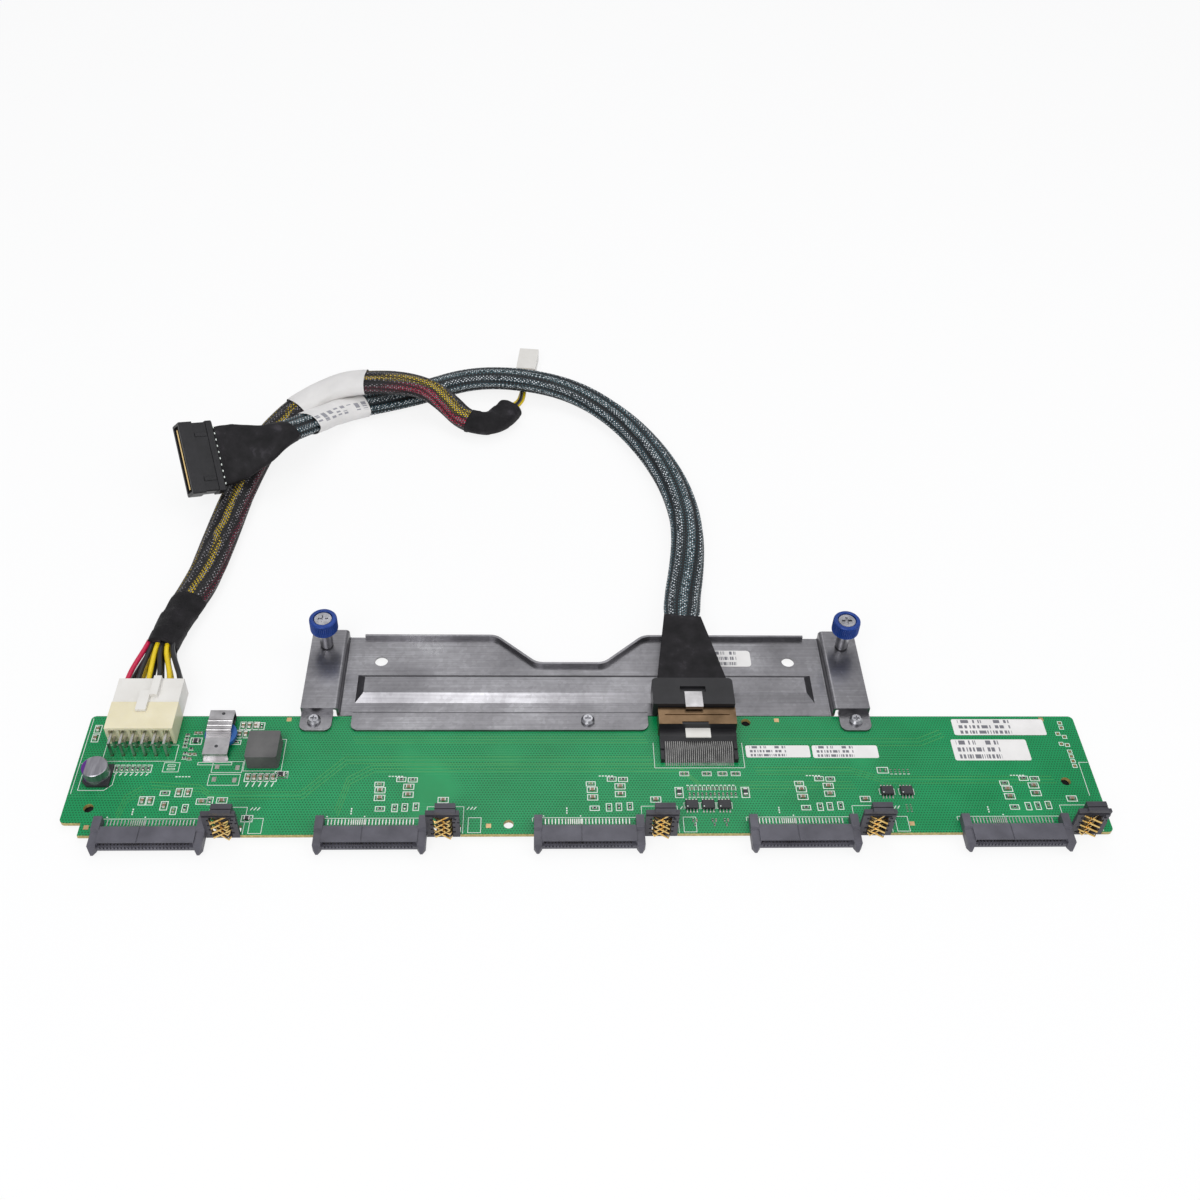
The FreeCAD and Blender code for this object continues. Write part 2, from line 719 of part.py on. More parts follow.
def make_data_shell():
    """A folded steel cover over the data socket, pressed out along a rib near its back."""
    item = body("data_shell")
    top = "data_height + shell_thickness"
    inner_left = "data_left + shell_thickness"
    inner_right = "data_left + data_width - shell_thickness"
    cover = [
        ("data_left", "0"), (inner_left, "0"), (inner_left, "data_height"), (inner_right, "data_height"),
        (inner_right, "0"), ("data_left + data_width", "0"), ("data_left + data_width", top), ("data_left", top),
    ]
    pad(item, "XZ_Plane", [cover], "data_shoulder_back", "data_back")
    notch = rectangle("latch_left + latch_width / 2 - shell_notch_width / 2", "data_shoulder_back",
                      "shell_notch_width", "shell_notch_depth")
    pocket(item, "XY_Plane", [notch], "data_height", top)
    rib = rectangle("data_left + (data_width - shell_rib_width) / 2", "shell_rib_back - shell_rib_depth",
                    "shell_rib_width", "shell_rib_depth")
    pad(item, "XY_Plane", [rib], top, "%s + shell_thickness" % top)
    seat(item, "data_header_shell")


def make_data_legs():
    """Fine legs in two rows: long ones from high on the block, and short ones between them."""
    item = body("data_legs")
    leg = [
        ("leg_front", "0"), ("leg_knee", "0"), ("leg_shoulder", "leg_height - contact_thickness"),
        ("data_front", "leg_height - contact_thickness"), ("data_front", "leg_height"),
        ("leg_shoulder - contact_thickness / 2", "leg_height"),
        ("leg_knee - contact_thickness / 2", "contact_thickness"), ("leg_front", "contact_thickness"),
    ]
    start = "data_left + (data_width - (leg_count - 1) * leg_pitch - leg_width) / 2"
    first = pad(item, "YZ_Plane", [leg], start, "%s + leg_width" % start)
    repeat(item, first, "X_Axis", "leg_count", "leg_pitch")
    short = [
        ("short_leg_front", "0"), ("data_front", "short_leg_height - contact_thickness"),
        ("data_front", "short_leg_height"), ("short_leg_front", "contact_thickness"),
    ]
    between = "%s + leg_pitch / 2" % start
    first = pad(item, "YZ_Plane", [short], between, "%s + leg_width" % between)
    repeat(item, first, "X_Axis", "leg_count - 1", "leg_pitch")
    seat(item, "data_header_contacts")


def make_pick_up_pad():
    item = body("pick_up_pad")
    plate = rectangle("pad_left", "pad_front", "pad_width", "data_shoulder_back - pad_front")
    pad(item, "XY_Plane", [plate], "data_shoulder_height", "data_shoulder_height + pad_thickness")
    seat(item, "data_header_pick_up_pad")


DATA_PLUG_TOP = "data_plug_bottom + data_plug_height"


def make_data_plug():
    item = body("data_plug")
    outer = rectangle("data_plug_left", "data_plug_front", "data_plug_width", "data_plug_back - data_plug_front")
    pad(item, "XY_Plane", [outer], "data_plug_bottom", DATA_PLUG_TOP)
    inset = "data_mouth_wall + data_nose_gap"
    nose = rectangle("data_left + %s" % inset, "data_mouth_bottom + data_nose_gap",
                     "data_width - 2 * (%s)" % inset, "data_mouth_height - 2 * data_nose_gap")
    pad(item, "XZ_Plane", [nose], "data_back - data_mouth_depth + 2 * data_nose_gap", "data_plug_front")
    ends = [("data_plug_left", "data_plug_back"), ("data_plug_left + data_plug_width", "data_plug_back")]
    dress(item, "Fillet", "board_corner", "z", ends)
    well = rectangle("latch_left + latch_width / 2 - well_width / 2", "latch_back", "well_width",
                     "well_back - latch_back")
    pocket(item, "XY_Plane", [well], "%s - well_depth" % DATA_PLUG_TOP, DATA_PLUG_TOP)
    seat(item, "data_plug")


def make_data_latch():
    """A sprung steel strip on the plug's top that hooks over the socket's cover."""
    item = body("data_latch")
    strip = [
        ("data_plug_front", DATA_PLUG_TOP), ("latch_back", DATA_PLUG_TOP),
        ("latch_back", "%s + latch_thickness" % DATA_PLUG_TOP),
        ("latch_front", "%s + latch_thickness" % DATA_PLUG_TOP),
        ("latch_front", "data_height + 2 * shell_thickness + 3 * seat_gap"),
        ("latch_front + latch_thickness", "data_height + 2 * shell_thickness + 3 * seat_gap"),
        ("latch_front + latch_thickness", DATA_PLUG_TOP),
    ]
    pad(item, "YZ_Plane", [strip], "latch_left", "latch_left + latch_width")
    seat(item, "data_plug_latch")


# The strip under the board's edge stops short of the data socket.
STRIP_RIGHT = "data_left - strip_gap"


def make_bracket():
    """One folded sheet: a low plate between two raised wings, a strip and two tabs that lie on the board,
    a turned-up back edge that follows a notch, and a pressed rib along the plate."""
    item = body("bracket")
    right = "bracket_left + bracket_width"
    plate_left = "bracket_left + wing_width"
    plate_right = "%s - wing_width" % right
    low = "-board_thickness"
    wing_bottom = "wing_height - sheet"
    section = [
        ("bracket_left", wing_bottom), (plate_left, wing_bottom), (plate_left, low), (plate_right, low),
        (plate_right, wing_bottom), (right, wing_bottom), (right, "wing_height"),
        ("%s - sheet" % plate_right, "wing_height"), ("%s - sheet" % plate_right, "%s + sheet" % low),
        ("%s + sheet" % plate_left, "%s + sheet" % low), ("%s + sheet" % plate_left, "wing_height"),
        ("bracket_left", "wing_height"),
    ]
    pad(item, "XZ_Plane", [section], "bracket_front", "bracket_back")
    dress(item, "Fillet", "bend", "y", [section[1], section[4], section[8], section[9]])
    dress(item, "Fillet", "bend + sheet", "y", [section[2], section[3], section[7], section[10]])
    strip = [
        ("strip_front", "0"), ("bracket_front", "0"), ("bracket_front", low), ("bracket_front + sheet", low),
        ("bracket_front + sheet", "sheet"), ("strip_front", "sheet"),
    ]
    pad(item, "YZ_Plane", [strip], "strip_left", STRIP_RIGHT)
    dress(item, "Fillet", "sheet", "x", [("bracket_front + sheet", "sheet")])
    tab = [
        ("tab_front", "0"), ("bracket_front + sheet", "0"), ("bracket_front + sheet", "wing_height"),
        ("bracket_front", "wing_height"), ("bracket_front", "sheet"), ("tab_front", "sheet"),
    ]
    for left in ("bracket_left", "%s - tab_width" % right):
        pad(item, "YZ_Plane", [tab], left, "%s + tab_width" % left)
    notch_back = "bracket_back - sheet"
    slope = "notch_inset"
    inner = [
        ("flange_left", "bracket_back"), ("flange_left", notch_back),
        ("notch_middle - notch_top / 2 - %s" % slope, notch_back),
        ("notch_middle - notch_bottom / 2 - %s" % slope, "bracket_back - notch_depth - sheet"),
        ("notch_middle + notch_bottom / 2 + %s" % slope, "bracket_back - notch_depth - sheet"),
        ("notch_middle + notch_top / 2 + %s" % slope, notch_back),
        ("flange_right", notch_back), ("flange_right", "bracket_back"),
    ]
    pad(item, "XY_Plane", [inner], low, "flange_height")
    dress(item, "Fillet", "notch_corner", "z", inner[2:6])
    notch = [
        ("notch_middle - notch_top / 2", "bracket_back"),
        ("notch_middle - notch_bottom / 2", "bracket_back - notch_depth"),
        ("notch_middle + notch_bottom / 2", "bracket_back - notch_depth"),
        ("notch_middle + notch_top / 2", "bracket_back"),
    ]
    pocket(item, "XY_Plane", [notch], low, "flange_height")
    dress(item, "Fillet", "notch_corner", "z", notch)
    base = "%s + sheet" % low
    for kind, inset, drop in (("AdditiveLoft", "0", "0"), ("SubtractiveLoft", "sheet", "-sheet")):
        foot = rectangle("rib_left + %s" % inset, "rib_front + %s" % inset,
                         "rib_width - 2 * (%s)" % inset, "rib_depth - 2 * (%s)" % inset)
        crown_inset = "(%s + rib_slope)" % inset
        crown = rectangle("rib_left + %s" % crown_inset, "rib_front + %s" % crown_inset,
                          "rib_width - 2 * %s" % crown_inset, "rib_depth - 2 * %s" % crown_inset)
        lower = sketch(item, "XY_Plane", [foot], "%s + (%s)" % (base, drop))
        upper = sketch(item, "XY_Plane", [crown], "%s + rib_height + (%s)" % (base, drop))
        press = item.newObject("PartDesign::" + kind, kind)
        press.Profile = lower
        press.Sections = [upper]
        press.Ruled = True
    holes = [("plate_hole_left", "plate_hole_y", "plate_hole_radius"),
             ("plate_hole_left + plate_hole_spacing", "plate_hole_y", "plate_hole_radius")]
    holes += [(x, "screw_y", "screw_hole_radius") for x in SCREW_PLACES]
    holes += [(x, "thumb_y", "ferrule_hole_radius") for x in ("left_thumb_x", "right_thumb_x")]
    pocket(item, "XY_Plane", holes, low, "wing_height")
    corners = [("bracket_left", "tab_front"), ("bracket_left + tab_width", "tab_front"),
               ("%s - tab_width" % right, "tab_front"), (right, "tab_front"),
               ("strip_left", "strip_front"), (STRIP_RIGHT, "strip_front")]
    dress(item, "Fillet", "tab_corner", "z", corners)
    seat(item, "bracket")


def make_bracket_screws():
    """Pan head screws through the bracket's strip and tabs into the board, ends level with the rest."""
    screws = []
    for x in SCREW_PLACES:
        item = body("bracket_screw")
        half = [
            ("0", TABLE), ("screw_radius", TABLE), ("screw_radius", "sheet"), ("screw_head_radius", "sheet"),
            ("screw_head_radius", "sheet + screw_head_height / 2"),
            ("screw_crown_radius", "sheet + screw_head_height"), ("0", "sheet + screw_head_height"),
        ]
        spin(item, half)
        top = "sheet + screw_head_height"
        cross_drive(item, "%s - drive_depth" % top, top, "drive_radius")
        item.setExpression("Placement.Base.x", ref(x))
        item.setExpression("Placement.Base.y", ref("screw_y"))
        screws.append(item)
    group = doc.addObject("Part::Compound", "bracket_screws")
    group.Links = screws
    seat(group, "bracket_screws")


def cross_drive(item, floor, top, reach):
    """Cut a cross recess into a screw's head, about the body's upright axis."""
    width = "%s / 2" % reach
    bar = rectangle("-%s" % reach, "-%s / 2" % width, "2 * %s" % reach, width)
    post = rectangle("-%s / 2" % width, "-%s" % reach, width, "2 * %s" % reach)
    pocket(item, "XY_Plane", [bar], floor, top)
    pocket(item, "XY_Plane", [post], floor, top)


WING_BOTTOM = "wing_height - sheet"
FERRULE_TOP = "wing_height + ferrule_height"
CAVITY_TOP = "knob_bottom + knob_roof"


def make_thumbscrew(side, x):
    """A captive screw: a ferrule pressed into the wing, a coil spring in it, and a knob fixed on the screw."""
    ferrule = body("ferrule")
    bore = "ferrule_radius - ferrule_wall"
    floor = "wing_height + ferrule_floor"
    half = [
        ("ferrule_bore", WING_BOTTOM), ("ferrule_hole_radius", WING_BOTTOM),
        ("ferrule_hole_radius", "wing_height"), ("ferrule_hole_radius + seat_gap", "wing_height"),
        ("ferrule_hole_radius + seat_gap", "wing_height + ferrule_neck"),
        ("ferrule_radius", "wing_height + ferrule_neck"), ("ferrule_radius", FERRULE_TOP),
        (bore, FERRULE_TOP), (bore, floor), ("ferrule_bore", floor),
    ]
    spin(ferrule, half)
    seat(ferrule, side + "_thumbscrew_ferrule", x, "thumb_y")

    spring = doc.addObject("Part::Feature", "spring")
    spring.Shape = coil(value("coil_radius"), value("coil_wire"), value("%s - (%s)" % (CAVITY_TOP, floor)))
    seat(spring, side + "_thumbscrew_spring", x, "thumb_y", floor)

    knob = body("knob")
    knob_top = "knob_bottom + knob_height"
    half = [
        ("thumb_neck_radius", CAVITY_TOP), ("knob_cavity_radius", CAVITY_TOP),
        ("knob_cavity_radius", "knob_bottom"), ("knob_radius - knob_rim", "knob_bottom"),
        ("knob_radius", "knob_bottom + knob_rim"), ("knob_radius", "%s - knob_rim" % knob_top),
        ("knob_radius - knob_rim", knob_top), ("knob_recess_radius", knob_top),
        ("knob_recess_radius", "%s - knob_recess_depth" % knob_top),
        ("thumb_head_radius", "%s - knob_recess_depth" % knob_top),
        ("thumb_head_radius", "%s - thumb_head_height + seat_gap" % knob_top),
        ("thumb_neck_radius", "%s - thumb_head_height + seat_gap" % knob_top),
    ]
    spin(knob, half)
    seat(knob, side + "_thumbscrew_knob", x, "thumb_y")

    screw = body("screw")
    seat_level = "%s - thumb_head_height + seat_gap" % knob_top
    head_top = "%s + thumb_head_height - knob_recess_depth / 2" % seat_level
    half = [
        ("0", "thumb_thread_top - thumb_thread_length"),
        ("thumb_thread_radius", "thumb_thread_top - thumb_thread_length"),
        ("thumb_thread_radius", "thumb_thread_top"), ("thumb_neck_radius", "thumb_thread_top"),
        ("thumb_neck_radius", seat_level), ("thumb_head_radius", seat_level),
        ("thumb_head_radius", head_top), ("0", head_top),
    ]
    spin(screw, half)
    cross_drive(screw, "%s - drive_depth" % head_top, head_top, "thumb_drive_radius")
    seat(screw, side + "_thumbscrew_screw", x, "thumb_y")


def coil(radius, wire, height):
    """An open coil spring that stands on z = 0 and is height tall. Its wire has flat sides and mitred corners,
    because a round wire swept along a helix has over a hundred thousand triangles."""
    count = COIL_TURNS * COIL_STEPS
    points = []
    for i in range(count + 1):
        angle = 2 * math.pi * i / COIL_STEPS
        climb = wire + (height - 2 * wire) * i / count
        points.append(FreeCAD.Vector(radius * math.cos(angle), radius * math.sin(angle), climb))
    runs = [(after - before).normalize() for before, after in zip(points, points[1:])]
    outward = FreeCAD.Vector(1, 0, 0)
    outward = (outward - runs[0] * outward.dot(runs[0])).normalize()
    upward = runs[0].cross(outward)
    ring = []
    for side in range(COIL_SIDES):
        angle = 2 * math.pi * side / COIL_SIDES
        ring.append(points[0] + outward * wire * math.cos(angle) + upward * wire * math.sin(angle))
    rings = [ring]
    for i in range(count):
        mitre = (runs[i] + runs[min(i + 1, count - 1)]).normalize()
        ring = [p + runs[i] * ((points[i + 1] - p).dot(mitre) / runs[i].dot(mitre)) for p in ring]
        rings.append(ring)
    faces = [Part.Face(Part.makePolygon(end + end[:1])) for end in (rings[0], rings[-1])]
    for before, after in zip(rings, rings[1:]):
        for side in range(COIL_SIDES):
            other = (side + 1) % COIL_SIDES
            corners = [before[side], before[other], after[other], after[side], before[side]]
            faces.append(Part.Face(Part.makePolygon(corners)))
    solid = Part.Solid(Part.Shell(faces))
    return solid if solid.Volume > 0 else solid.reversed()


def make_choke():
    item = body("choke")
    block = rectangle("choke_left", "choke_front", "choke_width", "choke_depth")
    pad(item, "XY_Plane", [block], "0", "choke_height")
    right = "choke_left + choke_width"
    back = "choke_front + choke_depth"
    corners = [("choke_left", "choke_front"), (right, "choke_front"), ("choke_left", back), (right, back)]
    dress(item, "Chamfer", "choke_chamfer", "z", corners)
    seat(item, "choke")


def make_capacitor():
    """A round can with a crimped waist on a square moulded base with two cut corners."""
    base = body("base")
    half = "can_base / 2"
    square = rectangle("-%s" % half, "-%s" % half, "can_base", "can_base")
    pad(base, "XY_Plane", [square], "0", "can_base_height")
    dress(base, "Chamfer", "can_base / 5", "z", [("-%s" % half, half), ("-%s" % half, "-%s" % half)])
    seat(base, "bulk_capacitor_base", "can_x", "can_y")
    can = body("can")
    bottom = "can_base_height"
    waist = "%s + can_base_height" % bottom
    profile = [
        ("0", bottom), ("can_radius", bottom), ("can_radius", "%s - seat_gap" % waist),
        ("can_waist", waist), ("can_radius", "%s + 4 * seat_gap" % waist),
        ("can_radius", "can_height - 2 * seat_gap"), ("can_radius - 3 * seat_gap", "can_height"),
        ("0", "can_height"),
    ]
    spin(can, profile)
    seat(can, "bulk_capacitor_can", "can_x", "can_y")


def make_fuse():
    """A resettable fuse: a round core welded between two steel straps. The front one lies on the core, and
    the back one goes under it, stands up behind it and folds forward above it."""
    core_top = "fuse_core_bottom + fuse_core_height"
    plate_top = "%s + strap" % core_top
    front = body("front_strap")
    profile = [
        ("fuse_front - fuse_foot", "0"), ("fuse_front + strap", "0"), ("fuse_front + strap", core_top),
        ("fuse_plate_back", core_top), ("fuse_plate_back", plate_top), ("fuse_front", plate_top),
        ("fuse_front", "strap"), ("fuse_front - fuse_foot", "strap"),
    ]
    pad(front, "YZ_Plane", [profile], "fuse_left", "fuse_left + fuse_width")
    seat(front, "fuse_front_strap")
    back = body("back_strap")
    under = "fuse_core_bottom - strap"
    profile = [
        ("fuse_plate_back", under), ("fuse_back - strap", under), ("fuse_back - strap", "0"),
        ("fuse_back", "0"), ("fuse_back", "fuse_fold_top"), ("fuse_fold_front", "fuse_fold_top"),
        ("fuse_fold_front", "fuse_lip_bottom"), ("fuse_fold_front + strap", "fuse_lip_bottom"),
        ("fuse_fold_front + strap", "fuse_fold_top - strap"), ("fuse_back - strap", "fuse_fold_top - strap"),
        ("fuse_back - strap", "fuse_core_bottom"), ("fuse_plate_back", "fuse_core_bottom"),
    ]
    pad(back, "YZ_Plane", [profile], "fuse_left", "fuse_left + fuse_width")
    seat(back, "fuse_back_strap")
    core = body("core")
    circle = ("fuse_core_x", "fuse_core_y", "fuse_core_radius")
    pad(core, "XY_Plane", [circle], "fuse_core_bottom", core_top)
    seat(core, "fuse_core")


# Places of the small parts, in steps of the grid: the middle of each, and whether its length runs along Y. The first bay has its
# own set; the other bays are alike.
FIRST_BAY_CAPACITORS = [(28.5, 15.7, 1), (31.4, 15.7, 1), (41.4, 19.5, 1), (44.8, 19.5, 1), (37.0, 13.4, 1),
                        (50.6, 15.3, 0), (58.1, 15.8, 0)]
FIRST_BAY_RESISTORS = [(36.2, 19.2, 0), (40.9, 11.1, 1), (45.0, 12.2, 1), (53.7, 15.6, 1)]
BAY_CAPACITORS = [(35.9, 20.4, 0), (36.0, 16.8, 0), (46.7, 22.0, 0), (46.7, 18.3, 0), (60.2, 15.7, 0)]
BAY_RESISTORS = [(35.4, 23.2, 0), (36.6, 11.7, 0), (43.6, 25.5, 0), (48.0, 25.3, 0), (42.1, 12.1, 1),
                 (45.9, 12.3, 1), (50.1, 12.6, 1)]
BOARD_CAPACITORS = [(3.9, 50.5, 1), (3.9, 46.0, 1), (66.2, 26.6, 1), (68.6, 26.6, 1), (71.0, 26.6, 1),
                    (73.4, 26.6, 1), (75.8, 26.6, 1), (60.4, 52.2, 1), (62.8, 52.2, 1), (65.2, 52.2, 1),
                    (59.6, 48.0, 1), (62.0, 48.0, 1), (79.2, 27.4, 0)]
BOARD_RESISTORS = [(15.7 + 2.0 * index, 30.9, 1) for index in range(7)] + [(67.6, 52.0, 1), (58.9, 43.8, 0)]
CIRCUITS = [("236.3 * grid", "12.8 * grid"), ("242.6 * grid", "12.8 * grid"), ("248.9 * grid", "12.8 * grid"),
            ("313.0 * grid", "19.2 * grid"), ("320.6 * grid", "19.2 * grid")]


def make_chips(label, places, kind):
    """Plain blocks soldered flat on the board, all of one size, as a group of separate solids."""
    chips = []
    for x, y, turned in places:
        chip = doc.addObject("Part::Box", "chip")
        sides = (kind + "_width", kind + "_length") if turned else (kind + "_length", kind + "_width")
        chip.setExpression("Length", ref(sides[0]))
        chip.setExpression("Width", ref(sides[1]))
        chip.setExpression("Height", ref(kind + "_height"))
        chip.setExpression("Placement.Base.x", ref("%s - %s / 2" % (x, sides[0])))
        chip.setExpression("Placement.Base.y", ref("%s * grid - %s / 2" % (y, sides[1])))
        chips.append(chip)
    group = doc.addObject("Part::Compound", label)
    group.Links = chips
    seat(group, label)


def bay_places(first, others):
    """The first bay's places, and the same places in every other bay."""
    places = [("%s * grid + %s" % (x, BAY_X % 0), y, turned) for x, y, turned in first]
    bays = range(1, int(value("bay_count")))
    return places + [("%s * grid + %s" % (x, BAY_X % bay), y, turned) for bay in bays for x, y, turned in others]


def board_places(places):
    """Places that are measured from the board's corner."""
    return [("%s * grid" % x, y, turned) for x, y, turned in places]


def make_circuits():
    item = body("circuits")
    outlines = []
    for x, y in CIRCUITS:
        left = "%s - soic_body_width / 2" % x
        outlines.append(rectangle(left, "%s - soic_body_depth / 2" % y, "soic_body_width", "soic_body_depth"))
    pad(item, "XY_Plane", outlines, "0", "soic_height")
    for x, y in CIRCUITS:
        start = "%s - (soic_leg_count - 1) * soic_leg_pitch / 2 - soic_leg_width / 2" % x
        legs = []
        for way in (1, -1):
            tip, foot, side = ("%s + %d * %s" % (y, way, reach) for reach in
                               ("soic_span / 2", "(soic_span / 2 - soic_foot)", "soic_body_depth / 2"))
            legs.append([(tip, "0"), (foot, "0"), (side, "soic_leg_knee - contact_thickness"),
                         (side, "soic_leg_knee"), (foot, "contact_thickness"), (tip, "contact_thickness")])
        first = pad(item, "YZ_Plane", legs, start, "%s + soic_leg_width" % start)
        repeat(item, first, "X_Axis", "soic_leg_count", "soic_leg_pitch")
    seat(item, "integrated_circuits")


# Routes of the leads: the corners that their straight runs would meet at, rounded by tangent arcs.
POWER_LEAD = [
    (21.1, 90.9, 3.6), (23.4, 108.5, 3.2), (30.0, 131.0, 3.2), (32.8, 160.0, 3.2), (35.6, 190.0, 3.2),
    (39.6, 218.0, 3.2), (46.0, 240.0, 3.8), (58.0, 257.5, 7.0), (75.5, 265.5, 13.6), (94.0, 263.2, 18.0),
    (112.0, 259.3, 17.6), (127.0, 261.6, 10.0), (140.0, 258.2, 4.4), (151.5, 255.6, 3.2), (162.0, 258.8, 3.2),
]
END_WIRES = [(162.0, 258.8, 3.2), (166.8, 266.0, 0.6), (168.3, 275.0, -0.8), (168.9, 284.0, -0.8),
             (169.8, 293.0, 0.6)]
DATA_LEAD = [
    (238.4, 103.0, 6.8), (240.0, 120.0, 4.2), (243.8, 141.0, 3.2), (246.2, 162.0, 3.2), (245.8, 181.0, 3.2),
    (241.6, 204.0, 3.2), (232.0, 229.5, 3.2), (217.0, 254.5, 3.4), (195.0, 273.5, 5.6), (168.0, 279.5, 8.8),
    (141.0, 284.0, 5.2), (117.0, 273.5, 3.2), (97.0, 265.0, 3.2), (79.0, 253.5, 6.5), (66.5, 232.0, 14.5),
    (57.5, 216.5, 20.0),
]
# The far plug: where its boot ends and where its mouth is, and the roll of its wide faces.
FAR_PLUG_BACK = (26.6, 200.2, 16.8)
FAR_PLUG_MOUTH = (13.7, 191.9, 21.6)
FAR_PLUG_ROLL = 42


def lead_edges(points):
    """Straight runs joined by tangent arcs, each as large as its two runs allow."""
    corners = [FreeCAD.Vector(*point) for point in points]
    edges = []
    start = corners[0]
    for before, corner, after in zip(corners, corners[1:], corners[2:]):
        back = before - corner
        ahead = after - corner
        reach = 0.45 * min(back.Length, ahead.Length)
        half_turn = (math.pi - back.getAngle(ahead)) / 2
        entry = corner + back.normalize() * reach
        leave = corner + ahead.normalize() * reach
        radius = reach / math.tan(half_turn)
        middle = (entry + leave) * 0.5
        bulge = radius / math.cos(half_turn) - radius
        top = corner + (middle - corner).normalize() * bulge
        edges.append(Part.LineSegment(start, entry).toShape())
        edges.append(Part.Arc(entry, top, leave).toShape())
        print("   bend radius %.1f mm" % radius)
        start = leave
    edges.append(Part.LineSegment(start, corners[-1]).toShape())
    return edges


def make_lead(label, edges, diameter):
    """A round tube swept along a stretch of a lead's route."""
    path = Part.Wire(edges)
    first = path.Edges[0]
    direction = first.tangentAt(first.FirstParameter)
    section = Part.makeCircle(value(diameter) / 2, first.valueAt(first.FirstParameter), direction)
    item = doc.addObject("Part::Feature", label)
    item.Shape = path.makePipeShell([Part.Wire([section])], True, False)
    expected = section.Length ** 2 / (4 * math.pi) * path.Length
    print("%s: %.0f mm, volume %.4f of section times length" % (label, path.Length, item.Shape.Volume / expected))
    seat(item, label)


def ring(middle, along, width, height, roll):
    """A rectangle square to a direction, level across and then rolled about that direction."""
    level = along.cross(FreeCAD.Vector(0, 0, 1)).normalize()
    turn = FreeCAD.Rotation(along, roll)
    side = turn.multVec(level) * (width / 2)
    rise = turn.multVec(level.cross(along).normalize()) * (height / 2)
    corners = [middle - side - rise, middle + side - rise, middle + side + rise, middle - side + rise]
    return Part.makePolygon(corners + corners[:1])


def make_far_plug():
    """The data lead's far plug: a boot that widens from the lead to a flat plug with an open mouth."""
    last = DATA_LEAD[-1]
    lead_way = FreeCAD.Vector(*last) - FreeCAD.Vector(*DATA_LEAD[-2])
    back = FreeCAD.Vector(*FAR_PLUG_BACK)
    mouth = FreeCAD.Vector(*FAR_PLUG_MOUTH)
    way = (mouth - back).normalize()
    width = value("far_plug_width")
    height = value("far_plug_height")
    rings = [
        ring(FreeCAD.Vector(*last), lead_way.normalize(), value("boot_back_width"), value("boot_back_height"), 0),
        ring(back, way, width - 2 * value("plug_wall"), height - value("plug_wall"), FAR_PLUG_ROLL),
    ]
    boot = doc.addObject("Part::Feature", "far_boot")
    boot.Shape = Part.makeLoft(rings, True, True)
    seat(boot, "data_end_boot")
    outer = Part.makeLoft([ring(spot, way, width, height, FAR_PLUG_ROLL) for spot in (back, mouth)], True, True)
    wall = value("plug_wall")
    floor = mouth - way * value("far_mouth_depth")
    hollow = [ring(spot, way, width - 2 * wall, height - 2 * wall, FAR_PLUG_ROLL) for spot in (floor, mouth)]
    plug = doc.addObject("Part::Feature", "far_plug")
    plug.Shape = outer.cut(Part.makeLoft(hollow, True, True))
    seat(plug, "data_end_plug")
    card_end = mouth - way * value("card_inset")
    card = [ring(spot, way, width - 4 * wall, value("card_thickness"), FAR_PLUG_ROLL)
            for spot in (floor, card_end)]
    blade = doc.addObject("Part::Feature", "far_card")
    blade.Shape = Part.makeLoft(card, True, True)
    seat(blade, "data_end_card")


def make_end_plug():
    """The small plug on the power lead's thin end wires, lying flat beyond the data lead."""
    start = FreeCAD.Vector(*END_WIRES[-1])
    way = (start - FreeCAD.Vector(*END_WIRES[-2]))
    way.z = 0
    finish = start + way.normalize() * value("end_plug_length")
    rings = [ring(spot, way, value("end_plug_width"), value("end_plug_height"), 0) for spot in (start, finish)]
    item = doc.addObject("Part::Feature", "end_plug")
    item.Shape = Part.makeLoft(rings, True, True)
    seat(item, "power_end_plug")


def make_power_wires():
    """Twelve wires that leave the plug in two rows and gather at the tape."""
    wires = []
    last = (value("pin_columns") - 1) / 2
    gather = value("wire_gather")
    end_x, end_y, end_z = POWER_LEAD[0]
    for column in range(int(value("pin_columns"))):
        for row, level in enumerate(PIN_LEVELS):
            start = FreeCAD.Vector(value("pin_start + %d * pin_pitch" % column),
                                   value("header_back + plug_length"), value(level))
            end = FreeCAD.Vector(end_x + (column - last) * gather, end_y, end_z + (row - 0.5) * gather)
            run = end - start
            wires.append(Part.makeCylinder(value("wire_diameter") / 2, run.Length, start, run))
    item = doc.addObject("Part::Feature", "wires")
    item.Shape = Part.makeCompound(wires)
    seat(item, "power_wires")


def make_data_boot():
    """A moulded boot that narrows from the plug's width to the lead."""
    start = FreeCAD.Vector(value("data_plug_left + data_plug_width / 2"), value("data_plug_back"),
                           value("data_plug_bottom + data_plug_height / 2"))
    end = FreeCAD.Vector(*DATA_LEAD[0])
    way = FreeCAD.Vector(*DATA_LEAD[1]) - end
    rings = [
        ring(start, FreeCAD.Vector(0, 1, 0), value("boot_front_width"), value("boot_front_height"), 0),
        ring(end, way.normalize(), value("boot_back_width"), value("boot_back_height"), 0),
    ]
    item = doc.addObject("Part::Feature", "boot")
    item.Shape = Part.makeLoft(rings, True, True)
    seat(item, "data_plug_boot")


def make_leads():
    """The power lead is taped at both ends of its braided sleeve; the data lead is sleeved all along."""
    power = lead_edges(POWER_LEAD)
    make_lead("power_lead_wrap", power[:4], "lead_diameter")
    make_lead("power_lead_sleeve", power[4:22], "lead_diameter")
    make_lead("power_end_wrap", power[22:], "lead_diameter")
    make_lead("power_end_wires", lead_edges(END_WIRES), "end_wire_diameter")
    make_lead("data_lead_sleeve", lead_edges(DATA_LEAD), "lead_diameter")


